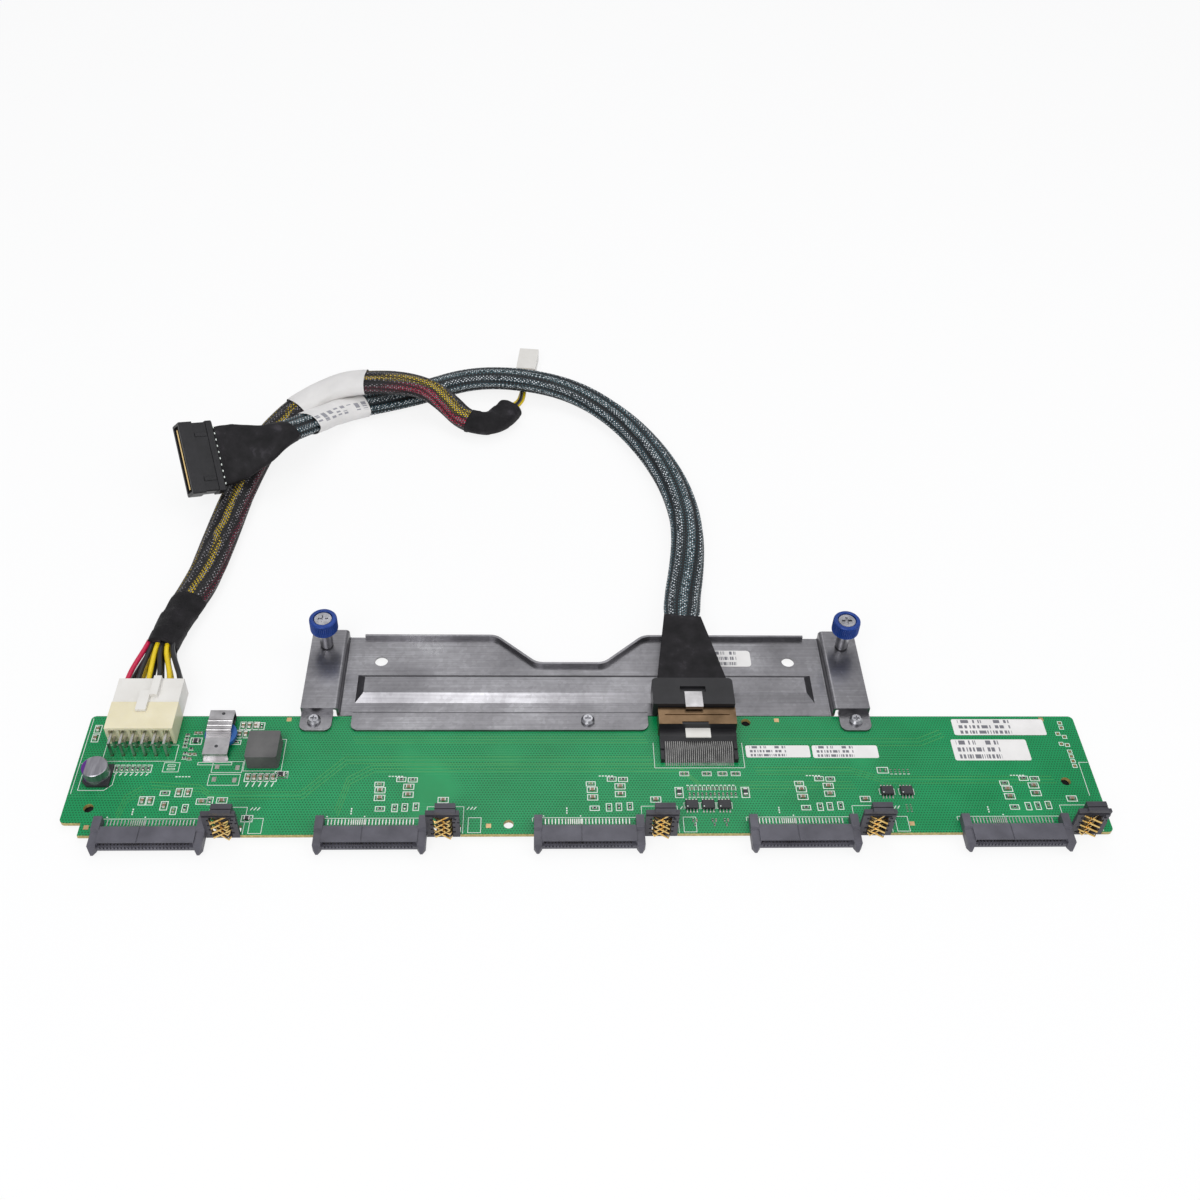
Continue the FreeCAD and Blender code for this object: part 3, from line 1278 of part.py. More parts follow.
def main():
    make_board()
    for bay in range(int(value("bay_count"))):
        make_drive_socket(bay)
        make_socket_contacts(bay)
        make_contact_block(bay)
        make_spring_contacts(bay)
    make_power_header()
    make_power_pins()
    make_power_plug()
    make_data_socket()
    make_data_shell()
    make_data_legs()
    make_pick_up_pad()
    make_data_plug()
    make_data_latch()
    make_bracket()
    make_bracket_screws()
    make_thumbscrew("left", "left_thumb_x")
    make_thumbscrew("right", "right_thumb_x")
    make_choke()
    make_capacitor()
    make_fuse()
    make_chips("chip_capacitors", bay_places(FIRST_BAY_CAPACITORS, BAY_CAPACITORS)
               + board_places(BOARD_CAPACITORS), "chip")
    make_chips("chip_resistors", bay_places(FIRST_BAY_RESISTORS, BAY_RESISTORS)
               + board_places(BOARD_RESISTORS), "resistor")
    make_circuits()
    make_power_wires()
    make_leads()
    make_end_plug()
    make_data_boot()
    make_far_plug()
    doc.recompute()
    write_parts()


def write_parts():
    failed = [item.Name for item in doc.Objects if "Invalid" in item.State or "Error" in item.State]
    failed += [node.Label for node in NODES if node.Shape.isNull() or not node.Shape.isValid()]
    if failed:
        raise RuntimeError("not built: " + ", ".join(failed))
    os.makedirs("parts", exist_ok=True)
    for node in NODES:
        node.Shape.exportStep("parts/%s.step" % node.Label)
    print("%d parts written" % len(NODES))


main()
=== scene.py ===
import bpy
import math
from mathutils import Matrix, Vector, noise


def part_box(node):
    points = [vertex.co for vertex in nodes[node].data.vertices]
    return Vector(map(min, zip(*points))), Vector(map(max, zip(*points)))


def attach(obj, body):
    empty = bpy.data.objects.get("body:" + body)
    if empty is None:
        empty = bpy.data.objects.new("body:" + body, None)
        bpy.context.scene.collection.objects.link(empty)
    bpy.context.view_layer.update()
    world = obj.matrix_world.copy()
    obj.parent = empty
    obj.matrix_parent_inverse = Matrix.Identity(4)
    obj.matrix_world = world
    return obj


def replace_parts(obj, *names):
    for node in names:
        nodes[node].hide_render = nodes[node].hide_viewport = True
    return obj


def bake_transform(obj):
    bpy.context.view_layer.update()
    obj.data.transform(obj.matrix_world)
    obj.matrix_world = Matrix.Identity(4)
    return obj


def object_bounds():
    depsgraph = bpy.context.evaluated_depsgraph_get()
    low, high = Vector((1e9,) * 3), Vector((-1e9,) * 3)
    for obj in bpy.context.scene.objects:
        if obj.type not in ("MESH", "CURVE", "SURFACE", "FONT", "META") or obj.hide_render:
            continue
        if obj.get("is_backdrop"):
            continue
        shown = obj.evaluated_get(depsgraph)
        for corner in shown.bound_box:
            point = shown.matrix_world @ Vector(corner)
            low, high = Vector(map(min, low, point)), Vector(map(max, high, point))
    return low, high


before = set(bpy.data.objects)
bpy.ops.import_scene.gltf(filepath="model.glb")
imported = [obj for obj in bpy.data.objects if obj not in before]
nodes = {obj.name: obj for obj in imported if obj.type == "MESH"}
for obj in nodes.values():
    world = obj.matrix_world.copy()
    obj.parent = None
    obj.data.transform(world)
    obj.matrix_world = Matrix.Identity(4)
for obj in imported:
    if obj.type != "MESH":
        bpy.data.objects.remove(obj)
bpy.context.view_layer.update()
MM = 0.001
TURN = 2 * math.pi
board_low, board_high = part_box("backplane_board")
CORNER = Vector((board_low.x, board_low.y, board_high.z))
BAYS = 5
BAY_PITCH = 81.23


def at(x, y, z=0.0):
    """The point x mm right of, y mm behind and z mm above the top of the board's front left corner."""
    return CORNER + Vector((x, y, z)) * MM


def blend(low, high, share):
    share = max(0.0, min(1.0, share))
    return low + (high - low) * share * share * (3 - 2 * share)


def put(name, data):
    """A new object in the scene."""
    item = bpy.data.objects.new(name, data)
    bpy.context.scene.collection.objects.link(item)
    return item


# --- camera
CAMERA_PLACE = (-0.0205, -0.3327, 0.4131)
CAMERA_YAW, CAMERA_PITCH, CAMERA_ROLL = -3.68, 44.96, 2.85
SENSOR = 36.0
LENS = 39.49

lens = bpy.data.cameras.new("camera")
lens.sensor_width = SENSOR
lens.lens = LENS
lens.clip_start, lens.clip_end = 0.02, 20
camera = put("camera", lens)
camera.matrix_world = (
    Matrix.Translation(CAMERA_PLACE)
    @ Matrix.Rotation(math.radians(CAMERA_YAW), 4, "Z")
    @ Matrix.Rotation(math.radians(90 - CAMERA_PITCH), 4, "X")
    @ Matrix.Rotation(math.radians(CAMERA_ROLL), 4, "Z")
)
bpy.context.scene.camera = camera


# --- materials
def rgb(colour):
    """Three numbers from 0 to 255 on a screen, as a shader takes them. Anything else is given back as it is."""
    if not isinstance(colour, tuple) or len(colour) != 3:
        return colour
    parts = [part / 255 for part in colour]
    return [part / 12.92 if part <= 0.04045 else ((part + 0.055) / 1.055) ** 2.4 for part in parts] + [1.0]


class Paint:
    """A material with one glossy surface shader, and short ways to feed it."""

    def __init__(self, name, rough=0.5, metal=0.0, **surface):
        self.material = bpy.data.materials.new(name)
        self.material.use_nodes = True
        self.tree = self.material.node_tree
        self.shader = self.tree.nodes["Principled BSDF"]
        self.set(self.shader, Roughness=rough, Metallic=metal, **surface)
        self.where = self.tree.nodes.new("ShaderNodeTexCoord")

    def feed(self, socket, given):
        """Links an output to a socket, or writes a value in it."""
        if isinstance(given, bpy.types.NodeSocket):
            self.tree.links.new(given, socket)
        else:
            socket.default_value = given

    def set(self, node, **inputs):
        for name, given in inputs.items():
            self.feed(node.inputs[name.replace("_", " ")], given)

    def add(self, kind, **inputs):
        node = self.tree.nodes.new("ShaderNode" + kind)
        self.set(node, **inputs)
        return node

    def spread(self, across=1.0, along=1.0, up=1.0, uv=False):
        """The place on the piece, stretched."""
        place = self.where.outputs["UV" if uv else "Object"]
        return self.add("Mapping", Vector=place, Scale=(across, along, up)).outputs[0]

    def parts(self, kind):
        """The three coordinates of the place or direction of that kind."""
        return self.add("SeparateXYZ", Vector=self.where.outputs[kind]).outputs

    def noise(self, scale, detail=3.0, where=None):
        node = self.add("TexNoise", Scale=scale, Detail=detail, Roughness=0.55, Vector=where or self.spread())
        return node.outputs[0]

    def cells(self, scale, where=None):
        """A random shade for each cell."""
        node = self.add("TexVoronoi", Scale=scale, Vector=where or self.spread())
        return self.add("RGBToBW", Color=node.outputs[1]).outputs[0]

    def math(self, kind, first, second=0.0):
        node = self.tree.nodes.new("ShaderNodeMath")
        node.operation = kind
        self.feed(node.inputs[0], first)
        self.feed(node.inputs[1], second)
        return node.outputs[0]

    def times(self, first, *others):
        for other in others:
            first = self.math("MULTIPLY", first, other)
        return first

    def plus(self, first, *others):
        for other in others:
            first = self.math("ADD", first, other)
        return first

    def ramp(self, fac, stops):
        node = self.add("ValToRGB", Fac=fac)
        elements = node.color_ramp.elements
        while len(elements) < len(stops):
            elements.new(0.5)
        for element, (place, colour) in zip(elements, stops):
            element.position = place
            element.color = rgb(colour)
        return node.outputs[0]

    def mix(self, fac, first, second):
        node = self.tree.nodes.new("ShaderNodeMix")
        node.data_type = "RGBA"
        for index, given in ((0, fac), (6, first), (7, second)):
            self.feed(node.inputs[index], rgb(given))
        return node.outputs[2]

    def range(self, fac, low, high, start=0.0, end=1.0):
        node = self.add("MapRange", Value=fac, From_Min=start, From_Max=end, To_Min=low, To_Max=high)
        return node.outputs[0]

    def rise(self, fac, start, end):
        return self.range(fac, 0.0, 1.0, start, end)

    def fall(self, fac, start, end):
        return self.range(fac, 1.0, 0.0, start, end)

    def bump(self, height, depth):
        """Relief of that depth in millimetres."""
        node = self.add("Bump", Height=height, Strength=1.0, Distance=depth * MM)
        if self.shader.inputs["Normal"].links:
            self.tree.links.new(self.shader.inputs["Normal"].links[0].from_socket, node.inputs["Normal"])
        self.set(self.shader, Normal=node.outputs[0])

    def color(self, value):
        self.set(self.shader, Base_Color=value)

    def roughness(self, value):
        self.set(self.shader, Roughness=value)


def plain(name, dark, light, rough=(0.4, 0.55), metal=0.0, grain=0.02, patch=90.0, fine=2500.0, **surface):
    """A moulded or cast surface: two close shades in soft patches, uneven gloss and a fine grain."""
    paint = Paint(name, metal=metal, **surface)
    cloud = paint.noise(patch, 4.0)
    paint.color(paint.ramp(cloud, [(0.3, dark), (0.7, light)]))
    speck = paint.noise(fine, 2.0)
    paint.roughness(paint.range(paint.noise(patch * 6, 3.0), *rough))
    paint.bump(speck, grain)
    return paint.material


def wire_coat(name, dark, light):
    return plain(name, dark, light, (0.3, 0.42), grain=0.01, patch=60.0, fine=900.0)


black_plastic = plain("black_plastic", (70, 69, 77), (93, 92, 101), (0.4, 0.56), grain=0.014)
block_plastic = plain("block_plastic", (50, 49, 55), (70, 69, 77), (0.42, 0.58), grain=0.014)
dark_plastic = plain("dark_plastic", (24, 24, 26), (38, 37, 40), (0.34, 0.48), grain=0.012, Specular_IOR_Level=0.35)
package = plain("package_epoxy", (34, 34, 37), (50, 50, 54), (0.42, 0.56), grain=0.02, fine=4000)
ivory = plain("ivory_nylon", (219, 210, 177), (229, 221, 192), (0.35, 0.5), grain=0.01, Subsurface_Weight=0.15,
              Subsurface_Radius=(0.002, 0.0018, 0.001))
white_nylon = plain("white_nylon", (217, 214, 208), (226, 224, 219), (0.38, 0.5), grain=0.01,
                    Subsurface_Weight=0.15, Subsurface_Radius=(0.002, 0.002, 0.002))
tin = plain("tin_plate", (176, 174, 170), (205, 203, 200), (0.25, 0.4), metal=1.0, grain=0.01, patch=400.0)
gold = plain("gold_plate", (206, 168, 92), (236, 206, 138), (0.16, 0.28), metal=1.0, grain=0.006, patch=500.0)
bronze = plain("bronze_shell", (92, 74, 55), (124, 101, 77), (0.26, 0.4), metal=1.0, grain=0.008, patch=120.0)
nickel = plain("nickel_strip", (150, 148, 149), (190, 188, 189), (0.24, 0.38), metal=1.0, grain=0.008, patch=160.0)
screw_steel = plain("screw_steel", (140, 140, 144), (178, 178, 182), (0.24, 0.36), metal=1.0, grain=0.01, patch=300.0)
ferrite = plain("ferrite", (74, 74, 74), (100, 99, 98), (0.55, 0.7), grain=0.03, fine=1800.0)
paper = plain("label_paper", (214, 212, 210), (225, 223, 221), (0.45, 0.55), grain=0.012, fine=3500.0)
blue_core = plain("fuse_blue", (20, 74, 142), (34, 98, 168), (0.4, 0.5))
tan_chip = plain("tan_ceramic", (108, 90, 70), (150, 128, 100), (0.35, 0.5), patch=500.0)
knob_blue = plain("knob_blue", (18, 50, 118), (28, 68, 152), (0.3, 0.44), metal=0.2, grain=0.01,
                  Specular_IOR_Level=0.4)
green_chip = plain("green_chip", (96, 118, 66), (122, 146, 88), (0.4, 0.5), patch=500.0)
chip_top = plain("chip_top", (26, 26, 28), (40, 40, 43), (0.4, 0.5), patch=500.0)
chip_ceramic = plain("chip_ceramic", (196, 194, 186), (214, 212, 206), (0.4, 0.5), patch=500.0)
silkscreen = plain("silkscreen", (206, 216, 206), (226, 232, 226), (0.5, 0.6), patch=300.0)
pad_metal = plain("pad_metal", (140, 138, 130), (176, 174, 166), (0.3, 0.45), metal=1.0, grain=0.02, patch=700.0)
track_lacquer = plain("track_lacquer", (44, 134, 70), (66, 150, 80), (0.3, 0.4), patch=60.0, Specular_IOR_Level=0.4)
copper_spot = plain("copper_spot", (150, 96, 66), (182, 124, 86), (0.35, 0.5), metal=0.5, patch=500.0)
target_metal = plain("target_metal", (184, 148, 102), (208, 176, 132), (0.3, 0.42), metal=0.6, patch=500.0)
dull_tin = plain("dull_tin", (112, 111, 110), (146, 145, 143), (0.3, 0.44), metal=1.0, patch=400.0)
red_wire = wire_coat("red_wire", (186, 14, 62), (214, 30, 84))
yellow_wire = wire_coat("yellow_wire", (214, 182, 10), (236, 206, 30))
black_wire = wire_coat("black_wire", (22, 22, 24), (38, 38, 41))


def make_tape():
    """Black cloth tape: a fine weave, dull folds and paler worn creases."""
    paint = Paint("cloth_tape", rough=0.7, Specular_IOR_Level=0.25)
    weave_x = paint.add("TexWave", Scale=260.0, Distortion=0.0, Vector=paint.spread(1, 1, 1, uv=True))
    crease = paint.noise(170.0, 5.0)
    paint.color(paint.ramp(crease, [(0.35, (17, 16, 18)), (0.6, (29, 27, 30)), (0.78, (58, 55, 60))]))
    paint.roughness(paint.range(crease, 0.75, 0.55))
    paint.bump(weave_x.outputs[1], 0.03)
    paint.bump(crease, 0.35)
    return paint.material


cloth_tape = make_tape()


def make_braid(name, stripes, end_stripes, strand, glint, open_share, cables, twist):
    """A tube of crossed strands over coloured wires that show as ridges, painted shade in the valleys between them and
    rows of small painted glints along their tops. The piece's own map runs once round it across and in millimetres
    along it."""
    paint = Paint(name, rough=0.4, Specular_IOR_Level=0.4)
    around, along, _ = paint.parts("UV")
    wander = paint.noise(0.03, 2.0, where=paint.where.outputs["UV"])
    place = paint.math("FRACT", paint.plus(around, paint.range(wander, -0.13, 0.13)))
    late = paint.rise(along, 214.0, 240.0)
    under = paint.mix(late, paint.ramp(place, stripes), paint.ramp(place, end_stripes))
    turned = paint.plus(around, paint.times(along, twist / TURN))
    lobe = paint.math("ABSOLUTE", paint.math("COSINE", paint.times(turned, cables * TURN / 2)))
    strands = []
    for way in (1, -1):
        turns = paint.times(around, 26.0)
        climb = paint.times(along, 0.5 * way)
        wave = paint.math("PINGPONG", paint.plus(turns, climb), 0.5)
        strands.append(paint.rise(wave, open_share, open_share + 0.1))
    cover = paint.math("MAXIMUM", strands[0], strands[1])
    cross = paint.times(strands[0], strands[1])
    # Painted shade: in the valleys between the wires the dark strand colour covers them.
    unshaded_ridge = paint.rise(lobe, 0.05, 0.5)
    woven_and_valley_shade = paint.mix(paint.math("MAXIMUM", cover, paint.math("SUBTRACT", 1.0, unshaded_ridge)), under, strand)
    # Painted glints: small painted highlights where strands cross on the ridge tops.
    sparkle = paint.noise(1.0, 0.0, where=paint.spread(30.0, 1.1, 1.0, uv=True))
    lit = paint.times(cross, paint.rise(sparkle, 0.42, 0.5))
    lit = paint.times(lit, paint.rise(lobe, 0.55, 0.8))
    paint.color(paint.mix(lit, woven_and_valley_shade, glint))
    paint.roughness(paint.range(cover, 0.55, 0.45))
    paint.bump(cover, 0.3)
    return paint.material


JET = (18, 17, 19)
POWER_STRIPES = [
    (0.0, JET), (0.07, (120, 20, 50)), (0.1, (110, 18, 46)), (0.12, JET), (0.2, JET), (0.215, (216, 184, 20)),
    (0.265, (200, 170, 18)), (0.28, JET), (0.38, JET), (0.39, (150, 128, 22)), (0.41, (140, 118, 20)),
    (0.42, JET), (0.6, (110, 22, 48)), (0.64, JET), (0.76, (190, 162, 22)), (0.8, JET),
]
POWER_END_STRIPES = [
    (0.0, JET), (0.05, (206, 24, 70)), (0.15, (196, 22, 66)), (0.17, JET), (0.185, (240, 206, 22)),
    (0.3, (226, 192, 20)), (0.32, JET), (0.4, JET), (0.6, (150, 26, 60)), (0.66, JET), (0.75, (210, 180, 22)),
    (0.8, JET),
]
DATA_STRIPES = [
    (0.0, (26, 58, 68)), (0.07, (84, 124, 134)), (0.13, (24, 44, 52)), (0.2, (50, 98, 110)),
    (0.27, (92, 128, 136)), (0.33, (26, 46, 54)), (0.41, (46, 94, 108)), (0.48, (76, 112, 122)),
    (0.55, (26, 34, 40)), (0.66, (60, 102, 114)), (0.75, (26, 46, 54)), (0.88, (70, 104, 114)),
    (1.0, (26, 58, 68)),
]
POWER_TWIST, DATA_TWIST = 0.012, 0.004
# Each braid's fourth colour is its strands, its fifth is its painted glint, a painted highlight.
power_braid = make_braid("power_braid", POWER_STRIPES, POWER_END_STRIPES, (18, 16, 19), (150, 146, 150), 0.23,
                         10, POWER_TWIST)
data_braid = make_braid("data_braid", DATA_STRIPES, DATA_STRIPES, (14, 15, 18), (226, 232, 236), 0.2, 8,
                        DATA_TWIST)


def make_zinc():
    """Galvanised sheet: faint small crystals, rolling lines, dull stains and a few pale scuffs."""
    paint = Paint("zinc_sheet", metal=1.0)
    shade = paint.cells(700.0)
    lines = paint.noise(1.0, 4.0, where=paint.spread(22.0, 1500.0, 60.0))
    stain = paint.noise(34.0, 5.0)
    tone = paint.plus(paint.times(shade, 0.12), paint.times(lines, 0.38), paint.times(stain, 0.5))
    paint.color(paint.ramp(tone, [(0.3, (110, 109, 112)), (0.52, (130, 129, 132)), (0.75, (158, 158, 161))]))
    paint.roughness(paint.range(stain, 0.42, 0.26, 0.3, 0.7))
    paint.bump(lines, 0.008)
    paint.bump(paint.noise(1100.0, 3.0), 0.008)
    scuff = paint.rise(paint.noise(1.0, 3.0, where=paint.spread(60.0, 900.0, 200.0)), 0.66, 0.72)
    paint.bump(scuff, 0.01)
    return paint.material


zinc = make_zinc()


def make_solder_mask():
    """Green lacquer over copper: a field of staggered dots, faint fine tracks, bare tan glass fibre on the cut
    edges, and a glassy top."""
    paint = Paint("solder_mask", rough=0.3, Specular_IOR_Level=0.34)
    right, back, _ = paint.parts("Object")
    across, depth = paint.times(right, 900.0), paint.times(back, 900.0)
    stagger = paint.times(paint.math("FLOOR", depth), 0.5)
    aside = paint.math("SUBTRACT", paint.math("FRACT", paint.plus(across, stagger)), 0.5)
    ahead = paint.math("SUBTRACT", paint.math("FRACT", depth), 0.5)
    away = paint.plus(paint.times(aside, aside), paint.times(ahead, ahead))
    field = paint.rise(paint.noise(22.0, 1.0), 0.34, 0.4)
    dots = paint.times(paint.fall(away, 0.05, 0.1), field)
    row = paint.math("PINGPONG", paint.times(back, 800.0), 0.5)
    lanes = paint.cells(1.0, where=paint.spread(10.0, 120.0, 1.0))
    tracks = paint.times(paint.fall(row, 0.14, 0.2), paint.rise(lanes, 0.74, 0.76))
    cloud = paint.noise(40.0, 3.0)
    ground = paint.ramp(cloud, [(0.3, (4, 132, 74)), (0.7, (16, 148, 88))])
    green = paint.mix(paint.times(tracks, 0.6), ground, (40, 150, 92))
    green = paint.mix(paint.times(dots, 0.7), green, (0, 52, 28))
    flat = paint.rise(paint.math("ABSOLUTE", paint.parts("Normal")[2]), 0.4, 0.6)
    fibre = paint.ramp(paint.noise(900.0, 2.0), [(0.3, (150, 132, 74)), (0.7, (196, 178, 116))])
    paint.color(paint.mix(flat, fibre, green))
    paint.roughness(paint.range(cloud, 0.26, 0.38))
    paint.bump(tracks, 0.03)
    paint.bump(dots, 0.03)
    return paint.material


solder_mask = make_solder_mask()


def make_can():
    """A spun aluminium can: faint turning marks, and the polarity mark on its left edge."""
    paint = Paint("can_aluminium", metal=1.0)
    grain = paint.noise(1.0, 3.0, where=paint.spread(900.0, 120.0, 120.0))
    left = paint.math("SUBTRACT", paint.parts("Object")[0], at(9.4, 27.1).x)
    marked = paint.fall(left, -0.0034, -0.0032)
    metal = paint.ramp(grain, [(0.3, (142, 140, 146)), (0.7, (176, 174, 180))])
    paint.color(paint.mix(marked, metal, (84, 26, 122)))
    paint.set(paint.shader, Metallic=paint.range(marked, 1.0, 0.1))
    paint.roughness(paint.range(grain, 0.28, 0.4))
    paint.bump(grain, 0.01)
    return paint.material


can_metal = make_can()


def make_label(name, rows, reach, shade):
    """Printed paper: a block of plain bars in rows. The piece's map runs from 0 to 1 over the label."""
    paint = Paint(name, rough=0.5)
    across, up, _ = paint.parts("UV")
    level, line = (paint.math(part, paint.times(up, float(rows))) for part in ("FRACT", "FLOOR"))
    spot = paint.add("CombineXYZ", X=paint.times(across, 40.0), Y=paint.times(line, 7.3))
    bars = paint.rise(paint.noise(1.0, 0.0, where=spot.outputs[0]), 0.47, 0.49)
    left, right = reach
    inside = paint.times(paint.rise(level, 0.24, 0.26), paint.fall(level, 0.84, 0.86),
                         paint.rise(across, left, left + 0.01), paint.fall(across, right, right + 0.01))
    ground = paint.ramp(paint.noise(120.0, 3.0), [(0.3, (222, 220, 218)), (0.7, (232, 230, 228))])
    paint.color(paint.mix(paint.times(inside, bars), ground, shade))
    paint.bump(paint.noise(3000.0, 2.0), 0.01)
    return paint.material


sticker_print = make_label("sticker_print", 3, (0.06, 0.62), (112, 112, 118))
sleeve_print = make_label("sleeve_print", 8, (0.3, 0.42), (150, 150, 156))


# --- pieces
def piece(name, corners, faces, material, body="board", slot=None, smooth=False, uvs=None):
    """A mesh piece in the row frame. uvs gives each face's corners' map. A piece with no body is attached to none."""
    mesh = bpy.data.meshes.new(name)
    mesh.from_pydata([tuple(corner) for corner in corners], [], faces)
    mesh.materials.append(material)
    if smooth:
        mesh.polygons.foreach_set("use_smooth", [True] * len(faces))
    if uvs:
        layer = mesh.uv_layers.new(name="map")
        flat = [number for face in uvs for pair in face for number in pair]
        layer.data.foreach_set("uv", flat)
    mesh.update()
    item = put(name, mesh)
    if body:
        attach(item, body)
    return item


def centreline(route):
    """The points of the smooth curve that a lead's route gives."""
    curve = bpy.data.curves.new("route", "CURVE")
    curve.dimensions = "3D"
    curve.resolution_u = 14
    spline = curve.splines.new("NURBS")
    spline.points.add(len(route) - 1)
    for point, place in zip(spline.points, route):
        point.co = (*at(*place), 1)
    spline.order_u = 3
    spline.use_endpoint_u = True
    holder = bpy.data.objects.new("route", curve)
    mesh = bpy.data.meshes.new_from_object(holder)
    line = [vertex.co.copy() for vertex in mesh.vertices]
    bpy.data.meshes.remove(mesh)
    bpy.data.objects.remove(holder)
    bpy.data.curves.remove(curve)
    return line


def lengths(line):
    total, along = 0.0, [0.0]
    for before, after in zip(line, line[1:]):
        total += (after - before).length
        along.append(total)
    return along


def stretch(line, start, end, step):
    """The part of a line between two distances along it, in even steps, all in millimetres."""
    along = lengths(line)
    count = max(2, round((end - start) / step))
    points, index = [], 0
    for number in range(count + 1):
        wanted = min((start + (end - start) * number / count) * MM, along[-1])
        while index < len(along) - 2 and along[index + 1] < wanted:
            index += 1
        share = (wanted - along[index]) / max(along[index + 1] - along[index], 1e-12)
        points.append(line[index].lerp(line[index + 1], min(share, 1.0)))
    return points


def skin(rings, closed=True):
    """Faces that join rings of points one after another, with both ends closed."""
    count = len(rings[0])
    corners = [point for ring in rings for point in ring]
    faces = []
    for index in range(len(rings) - 1):
        low, high = index * count, (index + 1) * count
        faces += [(low + i, low + (i + 1) % count, high + (i + 1) % count, high + i) for i in range(count)]
    if closed:
        faces.append(tuple(reversed(range(count))))
        faces.append(tuple(range(len(rings) * count - count, len(rings) * count)))
    return corners, faces


def sections(line):
    """Each point of a line, with the directions to its side and upwards."""
    for index, point in enumerate(line):
        way = (line[min(index + 1, len(line) - 1)] - line[max(index - 1, 0)]).normalized()
        side = way.cross(Vector((0, 0, 1)))
        side = side.normalized() if side.length > 1e-6 else Vector((1, 0, 0))
        yield point, side, side.cross(way)


def tube(name, line, profile, material, around=48, capped=True, per_length=1.0, **given):
    """A skin round a line. profile(along, angle) gives how far out it lies to the side and up, in millimetres.
    Its map runs once round it across, and along it in steps of per_length."""
    along = [length / MM for length in lengths(line)]
    rings = []
    for distance, (point, side, rise) in zip(along, sections(line)):
        outline = [profile(distance, TURN * step / around) for step in range(around)]
        rings.append([point + (side * across + rise * up) * MM for across, up in outline])
    corners, faces = skin(rings, closed=False)
    uvs = []
    for near, far in zip(along, along[1:]):
        near, far = near / per_length, far / per_length
        for step in range(around):
            left, right = step / around, (step + 1) / around
            uvs.append(((left, near), (right, near), (right, far), (left, far)))
    if capped:
        for ring, point in ((0, line[0]), (len(line) - 1, line[-1])):
            centre = len(corners)
            corners.append(point)
            for step in range(around):
                edge = (ring * around + step, ring * around + (step + 1) % around)
                faces.append((edge[1], edge[0], centre) if ring == 0 else (edge[0], edge[1], centre))
                uvs.append(((0, 0), (0.01, 0), (0, 0.01)))
    return piece(name, corners, faces, material, smooth=True, uvs=uvs, **given)


# The leads' routes, in the same places as the solids' routes but lower by what their flat sleeves lie down.
POWER_ROUTE = [
    (21.1, 90.9, 3.6), (23.4, 108.5, 2.8), (30.0, 131.0, 1.9), (32.8, 160.0, 1.7), (35.6, 190.0, 1.7),
    (39.6, 218.0, 1.7), (46.0, 240.0, 2.4), (58.0, 257.5, 5.6), (75.5, 265.5, 11.8), (94.0, 263.2, 15.4),
    (110.0, 264.0, 14.2), (122.0, 264.5, 9.8), (131.5, 257.5, 6.0), (139.5, 248.0, 3.6), (150.0, 245.5, 2.6),
    (158.0, 250.5, 2.6), (162.0, 258.8, 2.6),
]
DATA_ROUTE = [
    (238.4, 103.0, 6.8), (240.0, 120.0, 3.4), (243.8, 141.0, 1.7), (246.2, 162.0, 1.7), (245.8, 181.0, 1.7),
    (241.6, 204.0, 1.7), (232.0, 229.5, 1.7), (217.0, 254.5, 1.9), (195.0, 273.5, 4.0), (168.0, 279.5, 6.8),
    (141.0, 284.0, 3.6), (117.0, 273.5, 1.7), (97.0, 265.0, 1.7), (79.0, 253.5, 5.4), (66.5, 232.0, 13.6),
    (57.5, 216.5, 19.6),
]
END_ROUTE = [(162.0, 258.8, 2.6), (166.8, 266.0, 0.6), (168.3, 275.0, -0.8), (168.9, 284.0, -0.8),
             (169.8, 293.0, 0.6)]
power_line = centreline(POWER_ROUTE)
data_line = centreline(DATA_ROUTE)
end_line = centreline(END_ROUTE)
TAPE_TUCK = 0.17
POWER_LENGTH = lengths(power_line)[-1] / MM
DATA_LENGTH = lengths(data_line)[-1] / MM


def oval(wide, high, angle, ridges=0.0, count=9, twist=0.0):
    """A flat round outline with the wires inside showing as soft ridges."""
    swell = 1 + ridges * (abs(math.cos(count * (angle + twist) / 2)) - 0.64)
    return wide * math.cos(angle) * swell, high * math.sin(angle) * swell


def power_profile(along, angle):
    wide = blend(6.2, 7.6, along / 45)
    high = blend(5.6, 4.3, along / 45)
    wide = blend(wide, 6.2, (along - 215) / 40)
    high = blend(high, 4.7, (along - 215) / 40)
    taped = max(blend(1, 0, (along - 26) / 4), blend(0, 1, (along - POWER_LENGTH + 26) / 3))
    tuck = 1 - TAPE_TUCK * taped
    return oval(wide * tuck, high * tuck, angle, 0.1 * (1 - taped), 10, along * POWER_TWIST)


def data_profile(along, angle):
    wide = blend(6.7, blend(7.6, 7.2, along / 120), along / 12)
    high = blend(3.8, 4.25, along / 12)
    return oval(wide, high, angle, 0.16, 8, along * DATA_TWIST)


def wound(along, angle, wide, high, pitch, seed):
    """Tape wound on in overlapping turns, with uneven folds."""
    turn = (along / pitch + angle / TURN) % 1.0
    fold = noise.noise(Vector((math.cos(angle) * 1.6, math.sin(angle) * 1.6, along * 0.12 + seed)))
    grow = 0.3 * turn + 0.5 * fold
    return oval(wide + grow, high + grow, angle)


